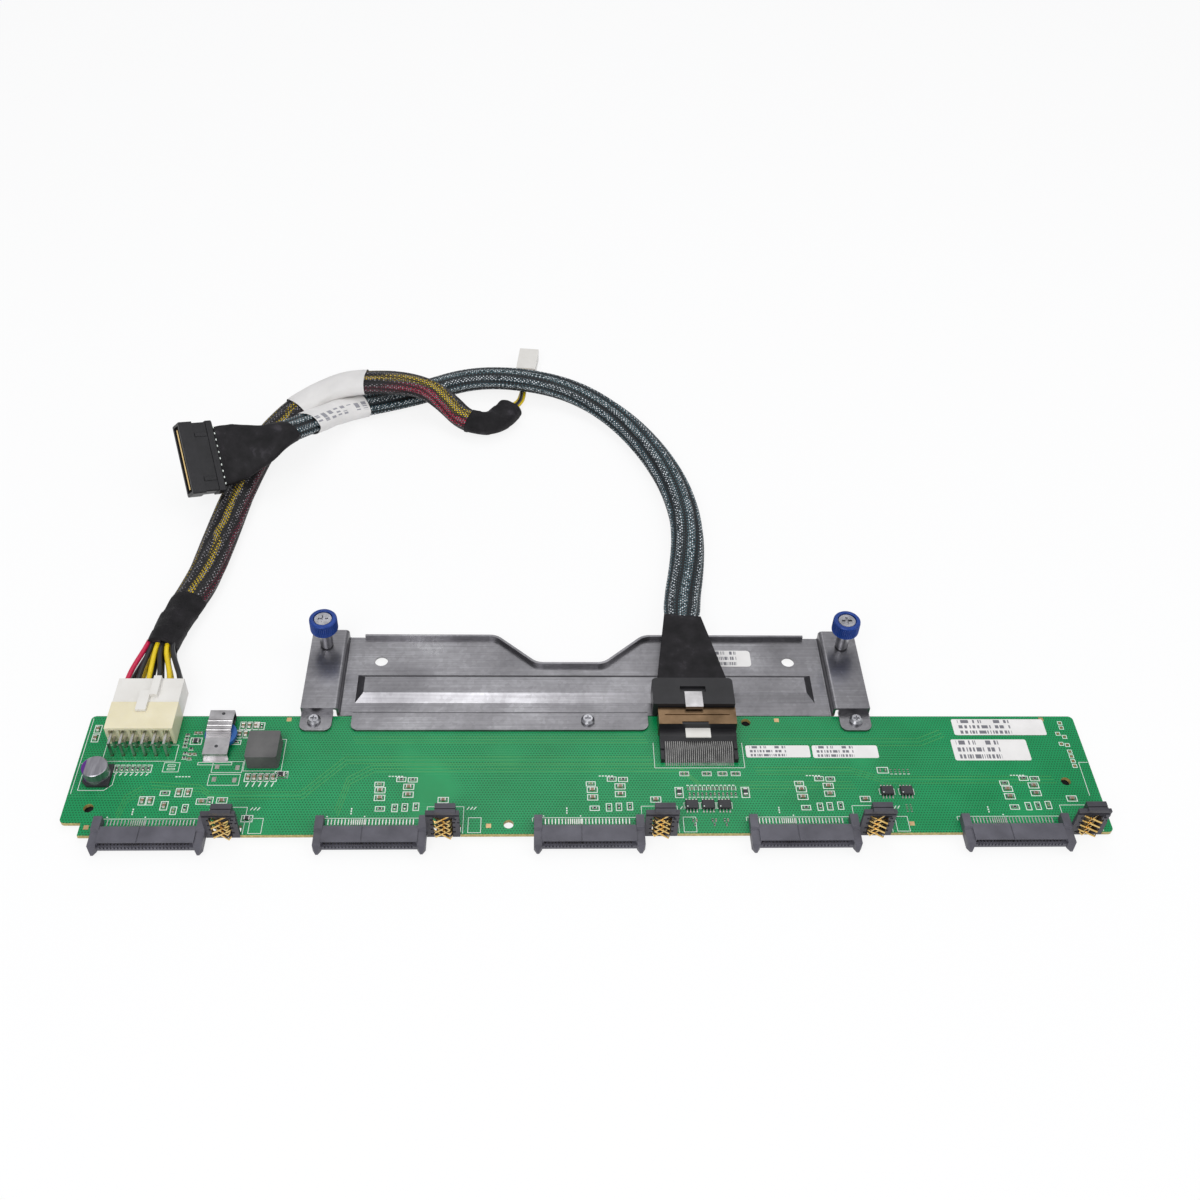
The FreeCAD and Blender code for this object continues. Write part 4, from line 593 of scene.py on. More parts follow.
power_lead = tube("power_lead", stretch(power_line, 0, POWER_LENGTH, 1.8), power_profile, power_braid, 60,
                  slot="braided_sleeve")
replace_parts(power_lead, "power_lead_sleeve")
power_tape = tube("power_lead_tape", stretch(power_line, 0, 30, 0.8),
                  lambda along, angle: wound(along, angle, blend(6.5, 7.4, along / 30), blend(5.8, 4.5, along / 30),
                                             11, 1), cloth_tape, slot="cloth_tape")
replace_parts(power_tape, "power_lead_wrap")
end_tape = tube("power_end_tape", stretch(power_line, POWER_LENGTH - 26, POWER_LENGTH, 0.7),
                lambda along, angle: wound(along, angle, 6.9, 4.9, 8, 5), cloth_tape, slot="cloth_tape")
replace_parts(end_tape, "power_end_wrap")
data_lead = tube("data_lead", stretch(data_line, 0, DATA_LENGTH, 1.8), data_profile, data_braid, 60,
                 slot="braided_sleeve")
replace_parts(data_lead, "data_lead_sleeve")


def label_profile(wide, high, seed):
    """A paper sleeve's outline, with a few soft dents."""
    def outline(along, angle):
        dent = 0.5 * noise.noise(Vector((math.cos(angle), math.sin(angle) * 2, along * 0.09 + seed)))
        return oval(wide + dent, high + dent, angle)
    return outline


power_label = tube("power_label", stretch(power_line, 168, 207, 1.0), label_profile(8.3, 5.0, 2), paper,
                   capped=False, slot="white_plastic")
data_label = tube("data_label", stretch(data_line, 300, 340, 1.0), label_profile(7.9, 4.9, 7), sleeve_print,
                  capped=False, slot="white_plastic", per_length=40.0)


def hermite(start, start_way, end, end_way, count=12):
    points = []
    for number in range(count + 1):
        t = number / count
        points.append(start * (2 * t ** 3 - 3 * t ** 2 + 1) + start_way * (t ** 3 - 2 * t ** 2 + t)
                      + end * (3 * t ** 2 - 2 * t ** 3) + end_way * (t ** 3 - t ** 2))
    return points


def joined(name, parts, material, **given):
    """Several small meshes, each (corners, faces), as one piece."""
    corners, faces = [], []
    for more_corners, more_faces in parts:
        base = len(corners)
        corners += more_corners
        faces += [tuple(base + index for index in face) for face in more_faces]
    return piece(name, corners, faces, material, **given)


def rod(line, radius, around=10):
    """A plain round rod along a line, as corners and faces."""
    angles = [TURN * step / around for step in range(around)]
    return skin([[point + (side * math.cos(angle) + rise * math.sin(angle)) * radius * MM for angle in angles]
                 for point, side, rise in sections(line)])


PIN_START, PIN_PITCH = 12.4, 4.2
PLUG_BACK = 68.9
WIRE_RADIUS = 1.05
WIRE_GATHER = 2.0
WIRE_ROWS = ((2.85, ("black", "yellow", "black", "black", "yellow", "black")),
             (7.05, ("red", "black", "yellow", "black", "yellow", "black")))
wire_parts = {"red": [], "black": [], "yellow": []}
lead_way = (power_line[1] - power_line[0]).normalized()
for row, (level, colours) in enumerate(WIRE_ROWS):
    for column, colour in enumerate(colours):
        first = at(PIN_START + column * PIN_PITCH, PLUG_BACK - 1, level)
        offset = Vector(((column - 2.5) * WIRE_GATHER, 2, (row - 0.5) * 4.4)) * MM
        last = power_line[0] + offset
        bow = 0.025 + 0.004 * math.sin(column * 2.1 + row)
        line = hermite(first, Vector((0, bow, 0)), last, lead_way * bow)
        wire_parts[colour].append(rod(line, WIRE_RADIUS))
plug_wires = []
for colour, coat in (("black", black_wire), ("red", red_wire), ("yellow", yellow_wire)):
    plug_wires.append(joined("power_wires_" + colour, wire_parts[colour], coat, smooth=True,
                              slot="wire_insulation"))
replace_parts(plug_wires[0], "power_wires")

end_parts = []
for number, coat in enumerate((black_wire, yellow_wire, red_wire, yellow_wire)):
    points = []
    for index, point in enumerate(stretch(end_line, 0, lengths(end_line)[-1] / MM, 1.5)):
        angle = TURN * (number / 4 + index * 0.02) + 0.4
        points.append(point + Vector((math.cos(angle), 0.2, math.sin(angle))) * 1.12 * MM)
    end_parts.append(rod(points, 0.85))
end_wires = []
for colour, coat, picked in (("black", black_wire, (0,)), ("yellow", yellow_wire, (1, 3)), ("red", red_wire, (2,))):
    end_wires.append(joined("power_end_wires_" + colour, [end_parts[index] for index in picked], coat,
                            smooth=True, slot="wire_insulation"))
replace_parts(end_wires[0], "power_end_wires")

stretch(power_line, 0, POWER_LENGTH, 1.8)


# --- finishes on the solids
def dress(material, *names):
    for name in names:
        mesh = nodes[name].data
        mesh.materials.clear()
        mesh.materials.append(material)


for bay in range(1, BAYS + 1):
    for material, name in ((black_plastic, "drive_socket"), (block_plastic, "carrier_contact_block"),
                           (gold, "carrier_spring_contacts"), (tin, "drive_socket_contacts")):
        dress(material, "%s_%d" % (name, bay))
for material, names in (
        (solder_mask, "backplane_board"), (ivory, "power_header"), (tin, "power_header_pins"),
        (white_nylon, "power_plug power_end_plug data_header_pick_up_pad"), (dull_tin, "data_header_contacts"),
        (dark_plastic, "data_header data_plug"), (cloth_tape, "data_plug_boot"), (bronze, "data_header_shell"),
        (nickel, "data_plug_latch fuse_front_strap fuse_back_strap"), (zinc, "bracket"), (ferrite, "choke"),
        (package, "bulk_capacitor_base"), (can_metal, "bulk_capacitor_can"), (blue_core, "fuse_core"),
        (screw_steel, "bracket_screws left_thumbscrew_screw left_thumbscrew_ferrule right_thumbscrew_screw "
                      "right_thumbscrew_ferrule")):
    dress(material, *names.split())


# --- small parts on the board
def islands(name):
    """The boxes of a node's separate solids, in millimetres from the board's corner."""
    mesh = nodes[name].data
    owner = list(range(len(mesh.vertices)))

    def root(index):
        while owner[index] != index:
            owner[index] = owner[owner[index]]
            index = owner[index]
        return index

    spots = {}
    for vertex in mesh.vertices:
        key = tuple(round(number, 7) for number in vertex.co)
        owner[root(vertex.index)] = root(spots.setdefault(key, vertex.index))
    for edge in mesh.edges:
        owner[root(edge.vertices[0])] = root(edge.vertices[1])
    groups = {}
    for vertex in mesh.vertices:
        groups.setdefault(root(vertex.index), []).append((vertex.co - CORNER) / MM)
    boxes = []
    for points in groups.values():
        low = Vector([min(point[axis] for point in points) for axis in range(3)])
        high = Vector([max(point[axis] for point in points) for axis in range(3)])
        boxes.append((low, high))
    return sorted(boxes, key=lambda box: tuple(box[0]))


def slab(low, high, cut=0.0):
    """A block between two corners in board millimetres, its top edges cut at 45 degrees."""
    (x, y, z), (right, back, top) = low, high
    rings = [(x, y, z, right, back), (x, y, top - cut, right, back)]
    if cut:
        rings.append((x + cut, y + cut, top, right - cut, back - cut))
    return skin([[at(left, front, level), at(far, front, level), at(far, rear, level), at(left, rear, level)]
                 for left, front, level, far, rear in rings])


LINE, INK = 0.22, 0.03


def frame_lines(left, front, right, back, width=LINE, top=INK):
    """A rectangle of printed lines."""
    return [slab((left, front, 0), (right, front + width, top)), slab((left, back - width, 0), (right, back, top)),
            slab((left, front + width, 0), (left + width, back - width, top)),
            slab((right - width, front + width, 0), (right, back - width, top))]


def printed(points, width=LINE, top=INK):
    """A printed line through points on the board."""
    parts = []
    for (x, y), (far_x, far_y) in zip(points, points[1:]):
        way = Vector((far_x - x, far_y - y)).normalized()
        side = Vector((-way.y, way.x)) * width / 2
        ends = [Vector((x, y)) - side, Vector((far_x, far_y)) - side, Vector((far_x, far_y)) + side,
                Vector((x, y)) + side]
        parts.append(skin([[at(end.x, end.y, level) for end in ends] for level in (0, top)]))
    return parts


END_SHARE, END_CUT = 0.21, 0.07
PAD_REACH, PAD_HEIGHT = 0.22, 0.04
LID, INSET = 0.1, 0.04
bodies = {"tan": [], "green": [], "top": [], "base": [], "dark": []}
chip_ends, pads, marks = [], [], []


def chip(low, high, kind, outlined=True):
    """A small part between two corners: its body, its metal ends, the solder beside them and a printed outline."""
    size = high - low
    axis = 0 if size.x > size.y else 1
    other = 1 - axis
    end = size[axis] * END_SHARE
    inner_low, inner_high = low.copy(), high.copy()
    inner_low[axis] += end
    inner_high[axis] -= end
    inner_low[other] += INSET
    inner_high[other] -= INSET
    if kind in ("tan", "dark"):
        bodies[kind].append(slab(inner_low, inner_high - Vector((0, 0, INSET)), 0.08))
    else:
        bodies["base"].append(slab(inner_low, inner_high - Vector((0, 0, LID))))
        lid_low = Vector((inner_low.x, inner_low.y, high.z - LID))
        bodies[kind].append(slab(lid_low, inner_high, 0.04))
    for start, stop, before, after in ((low[axis], low[axis] + end, PAD_REACH, 0),
                                       (high[axis] - end, high[axis], 0, PAD_REACH)):
        part_low, part_high = low.copy(), high.copy()
        part_low[axis], part_high[axis] = start, stop
        chip_ends.append(slab(part_low, part_high, END_CUT))
        part_low[axis] -= before
        part_high[axis] += after
        part_low[other] -= 0.05
        part_high[other] += 0.05
        part_high.z = PAD_HEIGHT
        pads.append(slab(part_low, part_high, 0.02))
        part_low[other] += 0.12
        part_high[other] -= 0.12
        part_high.z = size.z * 0.5
        pads.append(slab(part_low, part_high, min(0.18, size.z * 0.4)))
    if outlined:
        grow = Vector((0.8, 0.8, 0))
        grow[axis] = 1.1
        marks.extend(frame_lines(low.x - grow.x, low.y - grow.y, high.x + grow.x, high.y + grow.y, 0.32))


for node, kind in (("chip_capacitors", "tan"), ("chip_resistors", "top")):
    for low, high in islands(node):
        green = kind == "top" and low.y < 24 and (2 * round(low.x) + round(low.y)) % 3 == 0
        chip(low, high, "green" if green else kind)


def tiny(x, y, wide=0.6, deep=1.1, tall=0.4, kind="top", outlined=False):
    """One of the smallest parts, by its middle."""
    half = Vector((wide / 2, deep / 2, 0))
    middle = Vector((x, y, 0))
    chip(middle - half, middle + half + Vector((0, 0, tall)), kind, outlined)


for group in (233.4, 242.2, 248.4, 253.6):
    for step in range(3):
        tiny(group + 1.15 * step, 28.0, kind="tan" if step == 1 else "top")
    marks += frame_lines(group - 0.75, 26.9, group + 3.05, 29.1, 0.25)
ROW_STEP = 1.62
for step in range(12):
    left = ROW_STEP * step
    tiny(235.4 + left, 20.9, kind=("top", "tan", "top", "dark")[step % 4])
    tiny(235.9 + left, 18.2, kind=("tan", "top")[step % 2])
    marks += [slab((234.9 + left, 22.2, 0), (235.9 + left, 22.6, INK)),
              slab((235.3 + left, 16.6, 0), (236.5 + left, 16.9, INK)),
              slab((236.1 + left, 19.9, 0), (236.35 + left, 21.9, INK))]
for x in (231.9, 257.6):
    tiny(x, 19.0, 1.7, 3.0, 0.9, "dark", True)
for group in (236.3, 243.7, 248.3):
    tiny(group, 6.0)
    tiny(group + 1.3, 6.0, kind="tan")
    tiny(group + 0.6, 4.0)
tiny(43.2, 44.4, 2.4, 2.0, 0.9, "dark", True)
for x, y in ((39.4, 47.6), (39.4, 45.7), (39.4, 43.8), (39.4, 41.9), (42.6, 48.6), (44.2, 48.6), (42.0, 40.6),
             (40.2, 38.4), (42.2, 38.0), (43.8, 38.0), (40.2, 36.2), (42.2, 35.8)):
    tiny(x, y, 1.4, 0.8, 0.45, "tan" if x > 42.1 else "top")
    marks += [slab((x - 1.0, y - 0.85, 0), (x + 1.0, y - 0.65, INK))]
for spot in ((78.6, 27.8, 3.0, 2.0, 1.0, "dark", True), (75.6, 39.4, 1.3, 2.6, 0.8, "dark"),
             (74.9, 46.2, 1.3, 2.6, 0.8, "dark"), (65.9, 52.6, 1.8, 2.6, 0.6, "base"),
             (68.8, 7.4, 2.2, 1.6, 0.8, "dark", True)):
    tiny(*spot)
tan_bodies = joined("capacitor_bodies", bodies["tan"], tan_chip, slot="tan_ceramic")
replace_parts(tan_bodies, "chip_capacitors")
tops = joined("resistor_tops", bodies["top"], chip_top, slot="resistor_body")
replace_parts(tops, "chip_resistors")
joined("resistor_green_tops", bodies["green"], green_chip, slot="resistor_body")
joined("resistor_bases", bodies["base"], chip_ceramic, slot="white_plastic")
joined("dark_parts", bodies["dark"], package, slot="package_epoxy")
joined("chip_ends", chip_ends, tin, slot="tinned_pins")

# --- circuits with bent legs
LEG_PITCH, CIRCUIT_HALF = 1.27, 1.95
packages, legs, dots = [], [], []
for low, high in islands("integrated_circuits"):
    middle = (low + high) / 2
    if high.x - low.x < 3:
        continue
    front, back = middle.y - CIRCUIT_HALF, middle.y + CIRCUIT_HALF
    packages.append(slab((low.x, front, 0.12), (high.x, back, 0.8)))
    packages.append(slab((low.x + 0.08, front + 0.08, 0.8), (high.x - 0.08, back - 0.08, high.z), 0.22))
    dots.append(slab((low.x + 0.5, front + 0.45, high.z - 0.02), (low.x + 0.95, front + 0.9, high.z + 0.02)))
    for number in range(4):
        x = middle.x + (number - 1.5) * LEG_PITCH
        for way in (1, -1):
            edge = middle.y + way * CIRCUIT_HALF
            steps = [(edge, 0.62), (edge + way * 0.3, 0.62), (edge + way * 0.52, 0.1), (edge + way * 1.05, 0.1)]
            rings = [[at(x + side, y, level + drop)
                      for side, drop in ((-0.2, -0.09), (0.2, -0.09), (0.2, 0.09), (-0.2, 0.09))]
                     for y, level in steps]
            legs.append(skin(rings[::-way]))
            pads.append(slab((x - 0.3, min(edge + way * 0.45, edge + way * 1.3), 0),
                             (x + 0.3, max(edge + way * 0.45, edge + way * 1.3), 0.03)))
    marks += frame_lines(low.x - 0.6, front + 0.5, high.x + 0.6, back - 0.5)
circuits = joined("circuit_packages", packages, package, slot="package_epoxy")
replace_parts(circuits, "integrated_circuits")
joined("circuit_legs", legs, tin, slot="tinned_pins")
joined("circuit_dots", dots, silkscreen, slot="white_plastic")

# --- a dark wedge under the data header's legs: painted shade in the gap beneath them
wedge = [(33.4, 0.0), (41.8, 0.0), (41.8, 2.4), (37.6, 2.4), (33.6, 0.15)]
piece("data_header_painted_shade", *skin([[at(x, y, level) for y, level in wedge] for x in (226.9, 254.9)]), dark_plastic,
      slot="black_plastic")

# --- bare pads, targets and printed lines
for x, y in ((53.6, 31.8), (61.4, 31.4), (53.4, 25.8), (61.2, 25.4)):
    pads.append(slab((x - 0.8, y - 1.1, 0), (x + 0.8, y + 1.1, 0.05), 0.02))


def disc(x, y, radius, top, around=24):
    angles = [TURN * step / around for step in range(around)]
    return skin([[at(x + radius * math.cos(angle), y + radius * math.sin(angle), level) for angle in angles]
                 for level in (0, top)])


def dashes(count, x, y, step_x, step_y, wide, deep, width):
    """A row of printed dashes: how many, where the first starts, the step to the next and how far each runs."""
    for number in range(count):
        left, front = x + step_x * number, y + step_y * number
        marks.extend(printed([(left, front), (left + wide, front + deep)], width))


targets = []
for x, y in ((77.9, 55.5), (10.5, 3.7), (159.0, 3.8), (274.2, 55.1), (319.9, 4.2), (383.6, 55.6)):
    targets.append(slab((x - 0.95, y - 0.95, 0), (x + 0.95, y + 0.95, 0.04)))
joined("board_targets", targets, target_metal, slot="contact_gold")
for bay in range(BAYS):
    left = bay * BAY_PITCH
    marks += printed([(left + 13.2, 7.4), (left + 54.4, 7.4)])
    marks += printed([(left + 13.0, 5.6), (left + 13.0, 7.4)])
    for dot in (17.2, 31.2):
        marks.append(disc(left + dot, 8.2, 0.3, INK, 12))
    marks += printed([(left + 68.2, 0.4), (left + 68.2, 12.6), (left + 54.4, 12.6), (left + 54.4, 7.4)])
    dashes(3, left + 26.0, 9.2, 0, 1.1, 0, 0.7, 0.5)
    dashes(5, left + 38.6, 27.0, 1.2, 0, 0.8, 0, 0.45)
    if bay < BAYS - 1:
        marks += frame_lines(left + 70.0, 0.6, left + 75.0, 7.6)
        dashes(3, left + 69.4, 11.2, 1.3, 0, 0.9, 1.3, 0.35)
for path in (((223.2, 30.9), (258.7, 30.9), (258.7, 43.4)), ((223.2, 30.9), (223.2, 43.4)),
             ((3.2, 33.4), (3.2, 20.6), (13.0, 20.6), (15.6, 23.2), (15.6, 29.8)), ((3.2, 33.4), (1.6, 33.4)),
             ((1.0, 19.0), (1.0, 56.0)), ((392.6, 17.0), (392.9, 33.4), (396.6, 33.4))):
    marks += printed(path)
for box in ((51.6, 28.9, 63.4, 34.4), (51.2, 22.8, 63.2, 28.2), (63.6, 29.6, 78.4, 45.4), (45.8, 32.6, 59.0, 34.0),
            (9.0, 34.4, 37.0, 42.6), (33.0, 29.2, 39.2, 33.9), (34.6, 30.2, 37.6, 31.2), (34.6, 31.9, 37.6, 32.9)):
    marks += frame_lines(*box)
holes = []
for x, y in ((390.9, 53.6), (390.9, 51.2), (388.6, 48.0), (390.9, 46.4), (388.6, 42.8), (390.9, 42.2), (390.9, 38.8),
             (390.9, 36.4), (390.9, 34.0), (390.9, 31.6)):
    holes.append(disc(x, y, 0.45, 0.05))
    marks += frame_lines(x - 0.95, y - 0.95, x + 0.95, y + 0.95, 0.26)
joined("board_bare_holes", holes, copper_spot, slot="contact_gold")
# Footprints without parts: only their solder and print end up in a piece.
for step in range(5):
    tiny(316.4 + 1.7 * step, 29.4, kind=("top", "tan", "top", "dark", "top")[step])
    marks += [slab((315.9 + 1.7 * step, 27.6, 0), (316.9 + 1.7 * step, 27.9, INK))]
tiny(313.2, 29.6, 2.4, 1.5, 0.8, "dark", True)
for x in (319.4, 321.0):
    tiny(x, 12.4)
    tiny(x, 10.4, kind="tan")
dashes(7, 15.2, 27.6, 2.0, 0, 0.8, 1.0, 0.4)
dashes(5, 66.0, 22.2, 2.4, 0, 0.7, 2.0, 0.45)
tracks = []
BUNDLES = (
    (1.6, ((29.5, 24.5), (48.6, 23.1), (53.0, 19.7), (86.9, 19.7), (102.1, 36.5), (222.0, 36.4))),
    (1.6, ((101.0, 11.2), (104.1, 26.5), (113.0, 32.4), (232.0, 32.4), (240.0, 24.0), (300.0, 24.0))),
    (1.6, ((262.0, 31.0), (300.0, 31.0), (312.0, 26.5), (380.0, 26.5))),
    (1.6, ((20.0, 9.5), (21.5, 18.0), (27.0, 22.5))),
    (1.5, ((104.0, 46.5), (220.0, 46.5))),
    (1.7, ((262.0, 45.5), (330.0, 45.5), (340.0, 50.0))),
)
TRACKS_IN_BUNDLE, TRACK_WIDTH, TRACK_HEIGHT = 3, 0.3, 0.012
for pitch, path in BUNDLES:
    for number in range(TRACKS_IN_BUNDLE):
        course = [(x + number * pitch * 0.4, y - number * pitch) for x, y in path]
        tracks += printed(course, TRACK_WIDTH, TRACK_HEIGHT)
joined("board_tracks", tracks, track_lacquer, slot="circuit_board")
joined("board_pads", pads, pad_metal, slot="tinned_pins")
joined("board_print", marks, silkscreen, slot="white_plastic")


def sticker(name, left, front, right, back, level, corner=0.8):
    """A thin label with round corners, its map from 0 to 1 over it."""
    outline = []
    for x, y, start in ((right - corner, front + corner, 3), (right - corner, back - corner, 0),
                        (left + corner, back - corner, 1), (left + corner, front + corner, 2)):
        for step in range(5):
            angle = TURN * (start + step / 4) / 4
            outline.append((x + corner * math.cos(angle), y + corner * math.sin(angle)))
    corners, faces = skin([[at(x, y, height) for x, y in outline] for height in (level, level + 0.12)])
    place = [((x - left) / (right - left), (y - front) / (back - front)) for x, y in outline]
    uvs = [[place[index % len(place)] for index in face] for face in faces]
    return piece(name, corners, faces, sticker_print, uvs=uvs, slot="white_plastic")


for number, sides in enumerate(((259.9, 36.0, 285.6, 42.0), (286.6, 35.7, 313.0, 42.0), (346.0, 47.3, 384.0, 55.6),
                                (343.5, 34.4, 374.3, 45.0)), 1):
    sticker("board_sticker_%d" % number, *sides, 0.0)
sticker("bracket_sticker", 251.2, 84.9, 267.4, 94.0, -0.6, 1.6)


# --- the fuse's folded tongue
tongue = [(46.5, 3.22), (44.0, 3.22), (44.0, 3.5), (44.8, 3.6), (44.8, 4.1), (45.6, 4.2), (45.6, 4.7), (46.5, 4.85)]
piece("fuse_tongue", *skin([[at(x, y, level) for y, level in tongue] for x in (57.2, 47.6)]), nickel,
      slot="tinned_pins")
folds = [rod([at(47.7, 46.2 + 2.3 * number, 4.72), at(57.1, 46.2 + 2.3 * number, 4.72)], 0.62, 16)
         for number in range(3)]
joined("fuse_folds", folds, nickel, slot="tinned_pins")
# Dark discs on the straps: painted shade inside their holes.
joined("fuse_hole_shade", [disc(52.4, 39.4, 0.7, 3.23), disc(53.0, 54.4, 0.7, 4.93)], package, slot="package_epoxy")


# --- the far plug and its boot
def box_ring(middle, side, rise, wide, high, corner=0.6):
    """A rectangle with round corners, square to the two directions."""
    points = []
    for right, up, start in ((1, 1, 0), (-1, 1, 1), (-1, -1, 2), (1, -1, 3)):
        for step in range(5):
            angle = TURN * (start + step / 4) / 4
            across = right * (wide / 2 - corner) + corner * math.cos(angle)
            along = up * (high / 2 - corner) + corner * math.sin(angle)
            points.append(middle + (side * across + rise * along) * MM)
    return points


def aligned(way, roll):
    level = way.cross(Vector((0, 0, 1))).normalized()
    turn = Matrix.Rotation(math.radians(roll), 3, way)
    return turn @ level, turn @ level.cross(way)


FAR_ROLL = -42
far_back, far_mouth = at(26.6, 200.2, 16.8), at(13.7, 191.9, 21.6)
far_way = (far_mouth - far_back).normalized()
far_side, far_rise = aligned(far_way, FAR_ROLL)
far_reach = (far_mouth - far_back).length / MM


def far_ring(along, wide, high, corner=0.6, aside=0.0, up=0.0):
    middle = far_back + far_way * along * MM + far_side * aside * MM + far_rise * up * MM
    return box_ring(middle, far_side, far_rise, wide, high, corner)


shell = [far_ring(0, 33.0, 7.0), far_ring(0.4, 33.8, 7.8), far_ring(3.2, 33.8, 7.8), far_ring(3.4, 32.8, 7.0),
         far_ring(9.6, 32.8, 7.0), far_ring(9.8, 34.0, 8.0), far_ring(far_reach - 0.3, 34.0, 8.0),
         far_ring(far_reach, 33.4, 7.4), far_ring(far_reach, 31.2, 5.2, 0.3),
         far_ring(far_reach - 8.8, 31.2, 5.2, 0.3)]
far_parts = [skin(shell)]
for reach in (-10.5, 10.5):
    far_parts.append(skin([far_ring(t, 2.0, 1.2, 0.2, reach, 3.3) for t in (3.6, 9.4)]))
far_parts.append(skin([far_ring(t, 7.0, 1.6, 0.4, 0.0, -4.6) for t in (8.4, far_reach - 1.0)]))
far_plug = joined("far_plug", far_parts, dark_plastic, slot="black_plastic")
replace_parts(far_plug, "data_end_plug")
card = [far_ring(t, 28.4, 1.4, 0.2) for t in (far_reach - 8.6, far_reach - 0.3)]
stitches = [skin([far_ring(t, 0.9, 0.6, 0.15, 3.0 * number - 13.5, 3.3) for t in (-0.55, -0.05)])
            for number in range(10)]
far_stitches = joined("far_stitches", stitches, silkscreen, slot="white_plastic")
far_card = joined("far_card", [skin(card)], gold, slot="contact_gold")
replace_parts(far_card, "data_end_card")

boot_rings = []
boot_start = data_line[-1]
boot_way = (data_line[-1] - data_line[-3]).normalized()
BOOT_STEPS = 26
for number in range(BOOT_STEPS + 1):
    share = number / BOOT_STEPS
    spread = blend(0, 1, share * 1.15)
    middle = hermite(boot_start, boot_way * 0.03, far_back, far_way * 0.03, BOOT_STEPS)[number]
    way = boot_way.lerp(far_way, blend(0, 1, share)).normalized()
    side, rise = aligned(way, FAR_ROLL * spread)
    fold = 0.35 * noise.noise(Vector((share * 9, 3.1, 0.4)))
    wide = 15.4 + (28.6 - 15.4) * spread + fold
    high = 9.4 + (6.4 - 9.4) * spread - fold
    ring = []
    for step in range(40):
        angle = TURN * step / 40
        crease = 1 + 0.05 * noise.noise(Vector((math.cos(angle) * 1.8, math.sin(angle) * 1.8, share * 6)))
        across = math.copysign(abs(math.cos(angle)) ** (1 - 0.5 * spread), math.cos(angle))
        along = math.copysign(abs(math.sin(angle)) ** (1 - 0.3 * spread), math.sin(angle))
        ring.append(middle + (side * across * wide / 2 + rise * along * high / 2) * crease * MM)
    boot_rings.append(ring)
far_boot = joined("far_boot", [skin(boot_rings)], cloth_tape, smooth=True, slot="soft_black")
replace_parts(far_boot, "data_end_boot")
stretch(data_line, 0, DATA_LENGTH, 1.8)


# --- knurled knobs
KNURLS, KNURL_DEPTH = 44, 0.28
KNOB_BACK = 92.5


def knurled(name, x, body):
    """The knob's turned form with fine ridges pressed into its rim."""
    centre = at(x, KNOB_BACK)
    around = KNURLS * 4
    ring = [(1.1, 17.6, 0), (3.0, 17.6, 0), (3.0, 13.7, 0), (5.0, 13.7, 0), (5.3, 13.8, 0), (5.62, 14.2, 0),
            (5.7, 14.5, 1), (5.7, 19.3, 1), (5.62, 19.7, 0), (5.3, 20.1, 0), (5.0, 20.2, 0), (4.0, 20.2, 0),
            (3.9, 20.1, 0), (3.9, 19.2, 0), (3.5, 19.2, 0), (3.5, 18.1, 0), (1.1, 18.1, 0)]
    corners, faces = [], []
    for radius, level, ridged in ring:
        for step in range(around):
            dip = KNURL_DEPTH * (0.5 - 0.5 * math.cos(TURN * step / 4)) if ridged else 0.0
            angle = TURN * step / around
            corners.append(centre + Vector(((radius - dip) * math.cos(angle), (radius - dip) * math.sin(angle),
                                            level)) * MM)
    for index in range(len(ring)):
        low, high = index * around, (index + 1) % len(ring) * around
        for step in range(around):
            after = (step + 1) % around
            faces.append((low + after, low + step, high + step, high + after))
    return piece(name, corners, faces, knob_blue, body=body, slot="blue_plastic")


for side, x in (("left", 89.1), ("right", 306.0)):
    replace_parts(knurled(side + "_knurled_knob", x, side + "_knob"), side + "_thumbscrew_knob")


# --- coil springs on the thumbscrews
COIL_RADIUS, COIL_WIRE = 1.85, 0.2
COIL_TURNS, COIL_STEPS = 7, 24
for side in ("left", "right"):
    low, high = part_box(side + "_thumbscrew_spring")
    middle = (low + high) / 2
    foot, head = Vector((middle.x, middle.y, low.z)), Vector((middle.x, middle.y, high.z))
    count = COIL_TURNS * COIL_STEPS
    helix = []
    for step in range(count + 1):
        angle = TURN * step / COIL_STEPS
        climb = COIL_WIRE * MM + (head.z - foot.z - 2 * COIL_WIRE * MM) * step / count
        helix.append(foot + Vector((COIL_RADIUS * math.cos(angle) * MM, COIL_RADIUS * math.sin(angle) * MM, climb)))
    coil = joined(side + "_coil_spring", [rod(helix, COIL_WIRE, 8)], screw_steel, body=None, smooth=True,
                  slot="screw_steel")
    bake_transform(coil)
    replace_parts(coil, side + "_thumbscrew_spring")


# --- floor, lamps and world
FLOOR_GLOW = 0.85


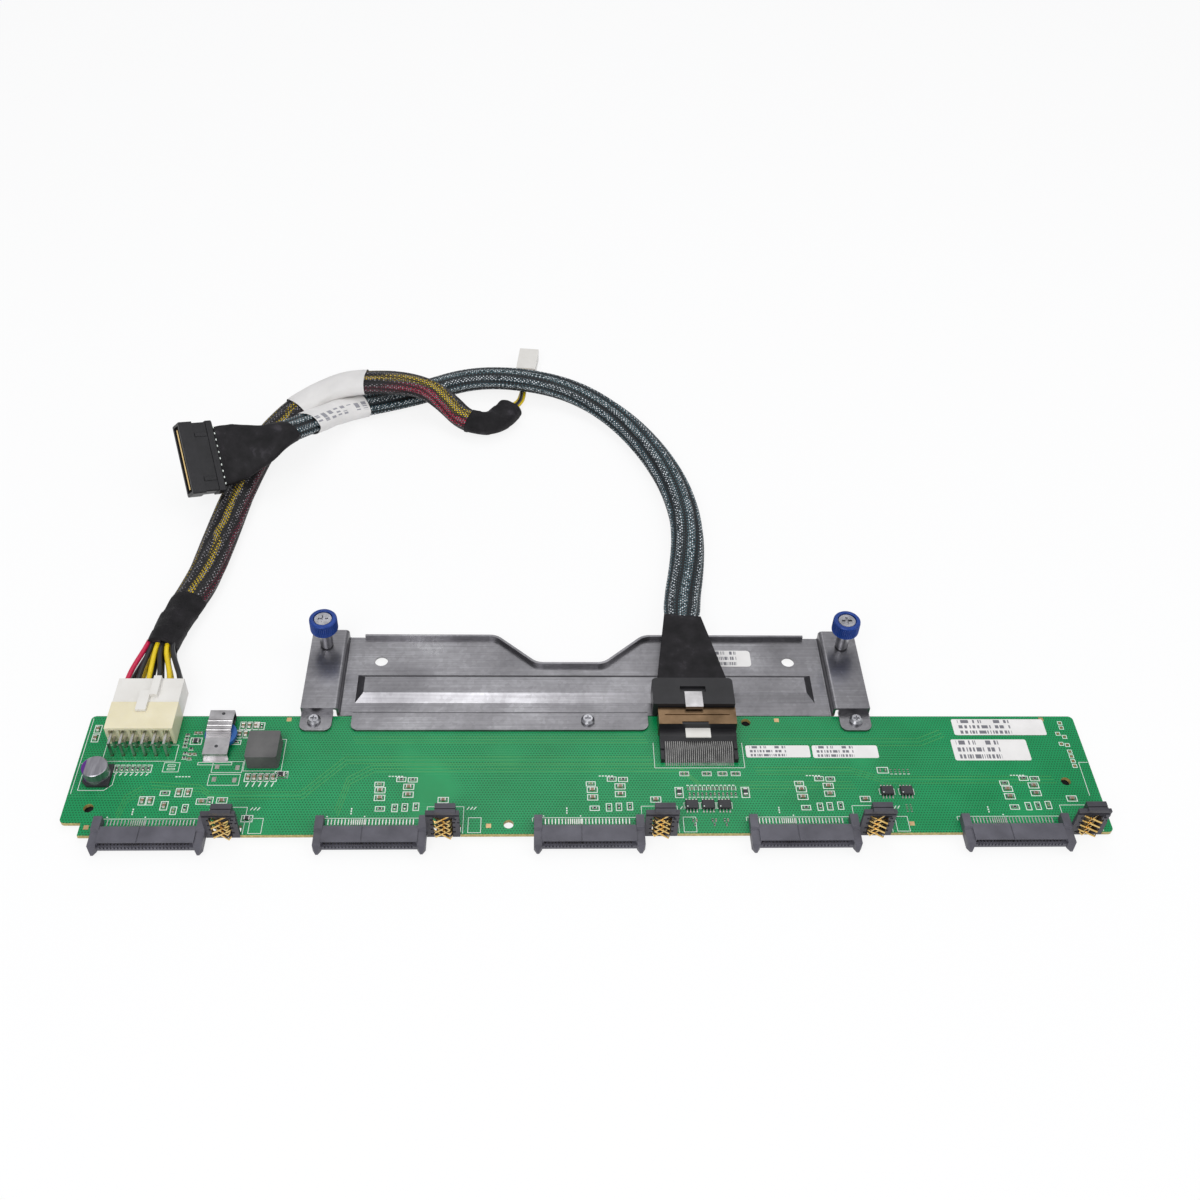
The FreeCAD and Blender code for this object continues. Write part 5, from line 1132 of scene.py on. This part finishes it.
def make_floor():
    paint = Paint("floor", rough=0.9)
    light_path = paint.tree.nodes.new("ShaderNodeLightPath")
    glow = paint.add("Emission", Color=(1, 1, 1, 1), Strength=1.0)
    seen = paint.math("MAXIMUM", light_path.outputs["Is Camera Ray"], light_path.outputs["Is Glossy Ray"])
    split = paint.add("SeparateXYZ", Vector=paint.where.outputs["Object"])
    # Inside two rectangles under the board the floor gets no glow and is painted near black: a painted shadow.
    unshadowed_floor = 1.0
    for left, front, right, back in ((4, 7.5, 393, 55), (100, 54, 290, 66)):
        low, high = at(left, front), at(right, back)
        outside = 0.0
        for index in (0, 1):
            away = paint.math("ABSOLUTE", paint.math("SUBTRACT", split.outputs[index], (low[index] + high[index]) / 2))
            outside = paint.math("MAXIMUM", outside, paint.math("GREATER_THAN", away, (high[index] - low[index]) / 2))
        unshadowed_floor = paint.times(unshadowed_floor, outside)
    share = paint.times(paint.times(seen, unshadowed_floor), FLOOR_GLOW)
    pale = paint.ramp(paint.noise(3.0, 2.0), [(0.3, (0.86, 0.86, 0.865, 1)), (0.7, (0.88, 0.88, 0.885, 1))])
    paint.color(paint.mix(unshadowed_floor, (0.02, 0.02, 0.02, 1), pale))
    join = paint.add("MixShader")
    paint.set(join, Fac=share)
    paint.tree.links.new(paint.shader.outputs[0], join.inputs[1])
    paint.tree.links.new(glow.outputs[0], join.inputs[2])
    paint.tree.links.new(join.outputs[0], paint.tree.nodes["Material Output"].inputs["Surface"])
    return paint.material


FLOOR_HALF, FLOOR_LEVEL = 6.0, -0.0002
floor_mesh = bpy.data.meshes.new("floor")
floor_mesh.from_pydata([(x * FLOOR_HALF, y * FLOOR_HALF, FLOOR_LEVEL)
                        for x, y in ((-1, -1), (1, -1), (1, 1), (-1, 1))], [], [(0, 1, 2, 3)])
floor_mesh.materials.append(make_floor())
floor = put("floor", floor_mesh)
floor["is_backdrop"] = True


LAMP_TARGET = Vector((0, 0.08, 0))


def lamp(name, place, size, power):
    light = bpy.data.lights.new(name, "AREA")
    light.shape = "SQUARE"
    light.size = size
    light.energy = power
    item = put(name, light)
    item.location = place
    item.rotation_euler = (LAMP_TARGET - Vector(place)).to_track_quat("-Z", "Y").to_euler()


lamp("key", (-0.35, -0.75, 1.0), 0.7, 8.0)
lamp("fill", (0.85, -0.2, 0.9), 0.9, 3.5)
lamp("back", (0.0, 0.75, 1.3), 0.9, 4.0)

world = bpy.data.worlds.new("studio")
bpy.context.scene.world = world
world.use_nodes = True
background = world.node_tree.nodes["Background"]
background.inputs["Color"].default_value = (0.95, 0.96, 1.0, 1)
ray = world.node_tree.nodes.new("ShaderNodeLightPath")
level = world.node_tree.nodes.new("ShaderNodeMapRange")
level.inputs["To Min"].default_value = 0.5
level.inputs["To Max"].default_value = 1.0
world.node_tree.links.new(ray.outputs["Is Camera Ray"], level.inputs["Value"])
world.node_tree.links.new(level.outputs[0], background.inputs["Strength"])

bpy.context.scene.view_settings.view_transform = "Standard"

low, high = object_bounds()
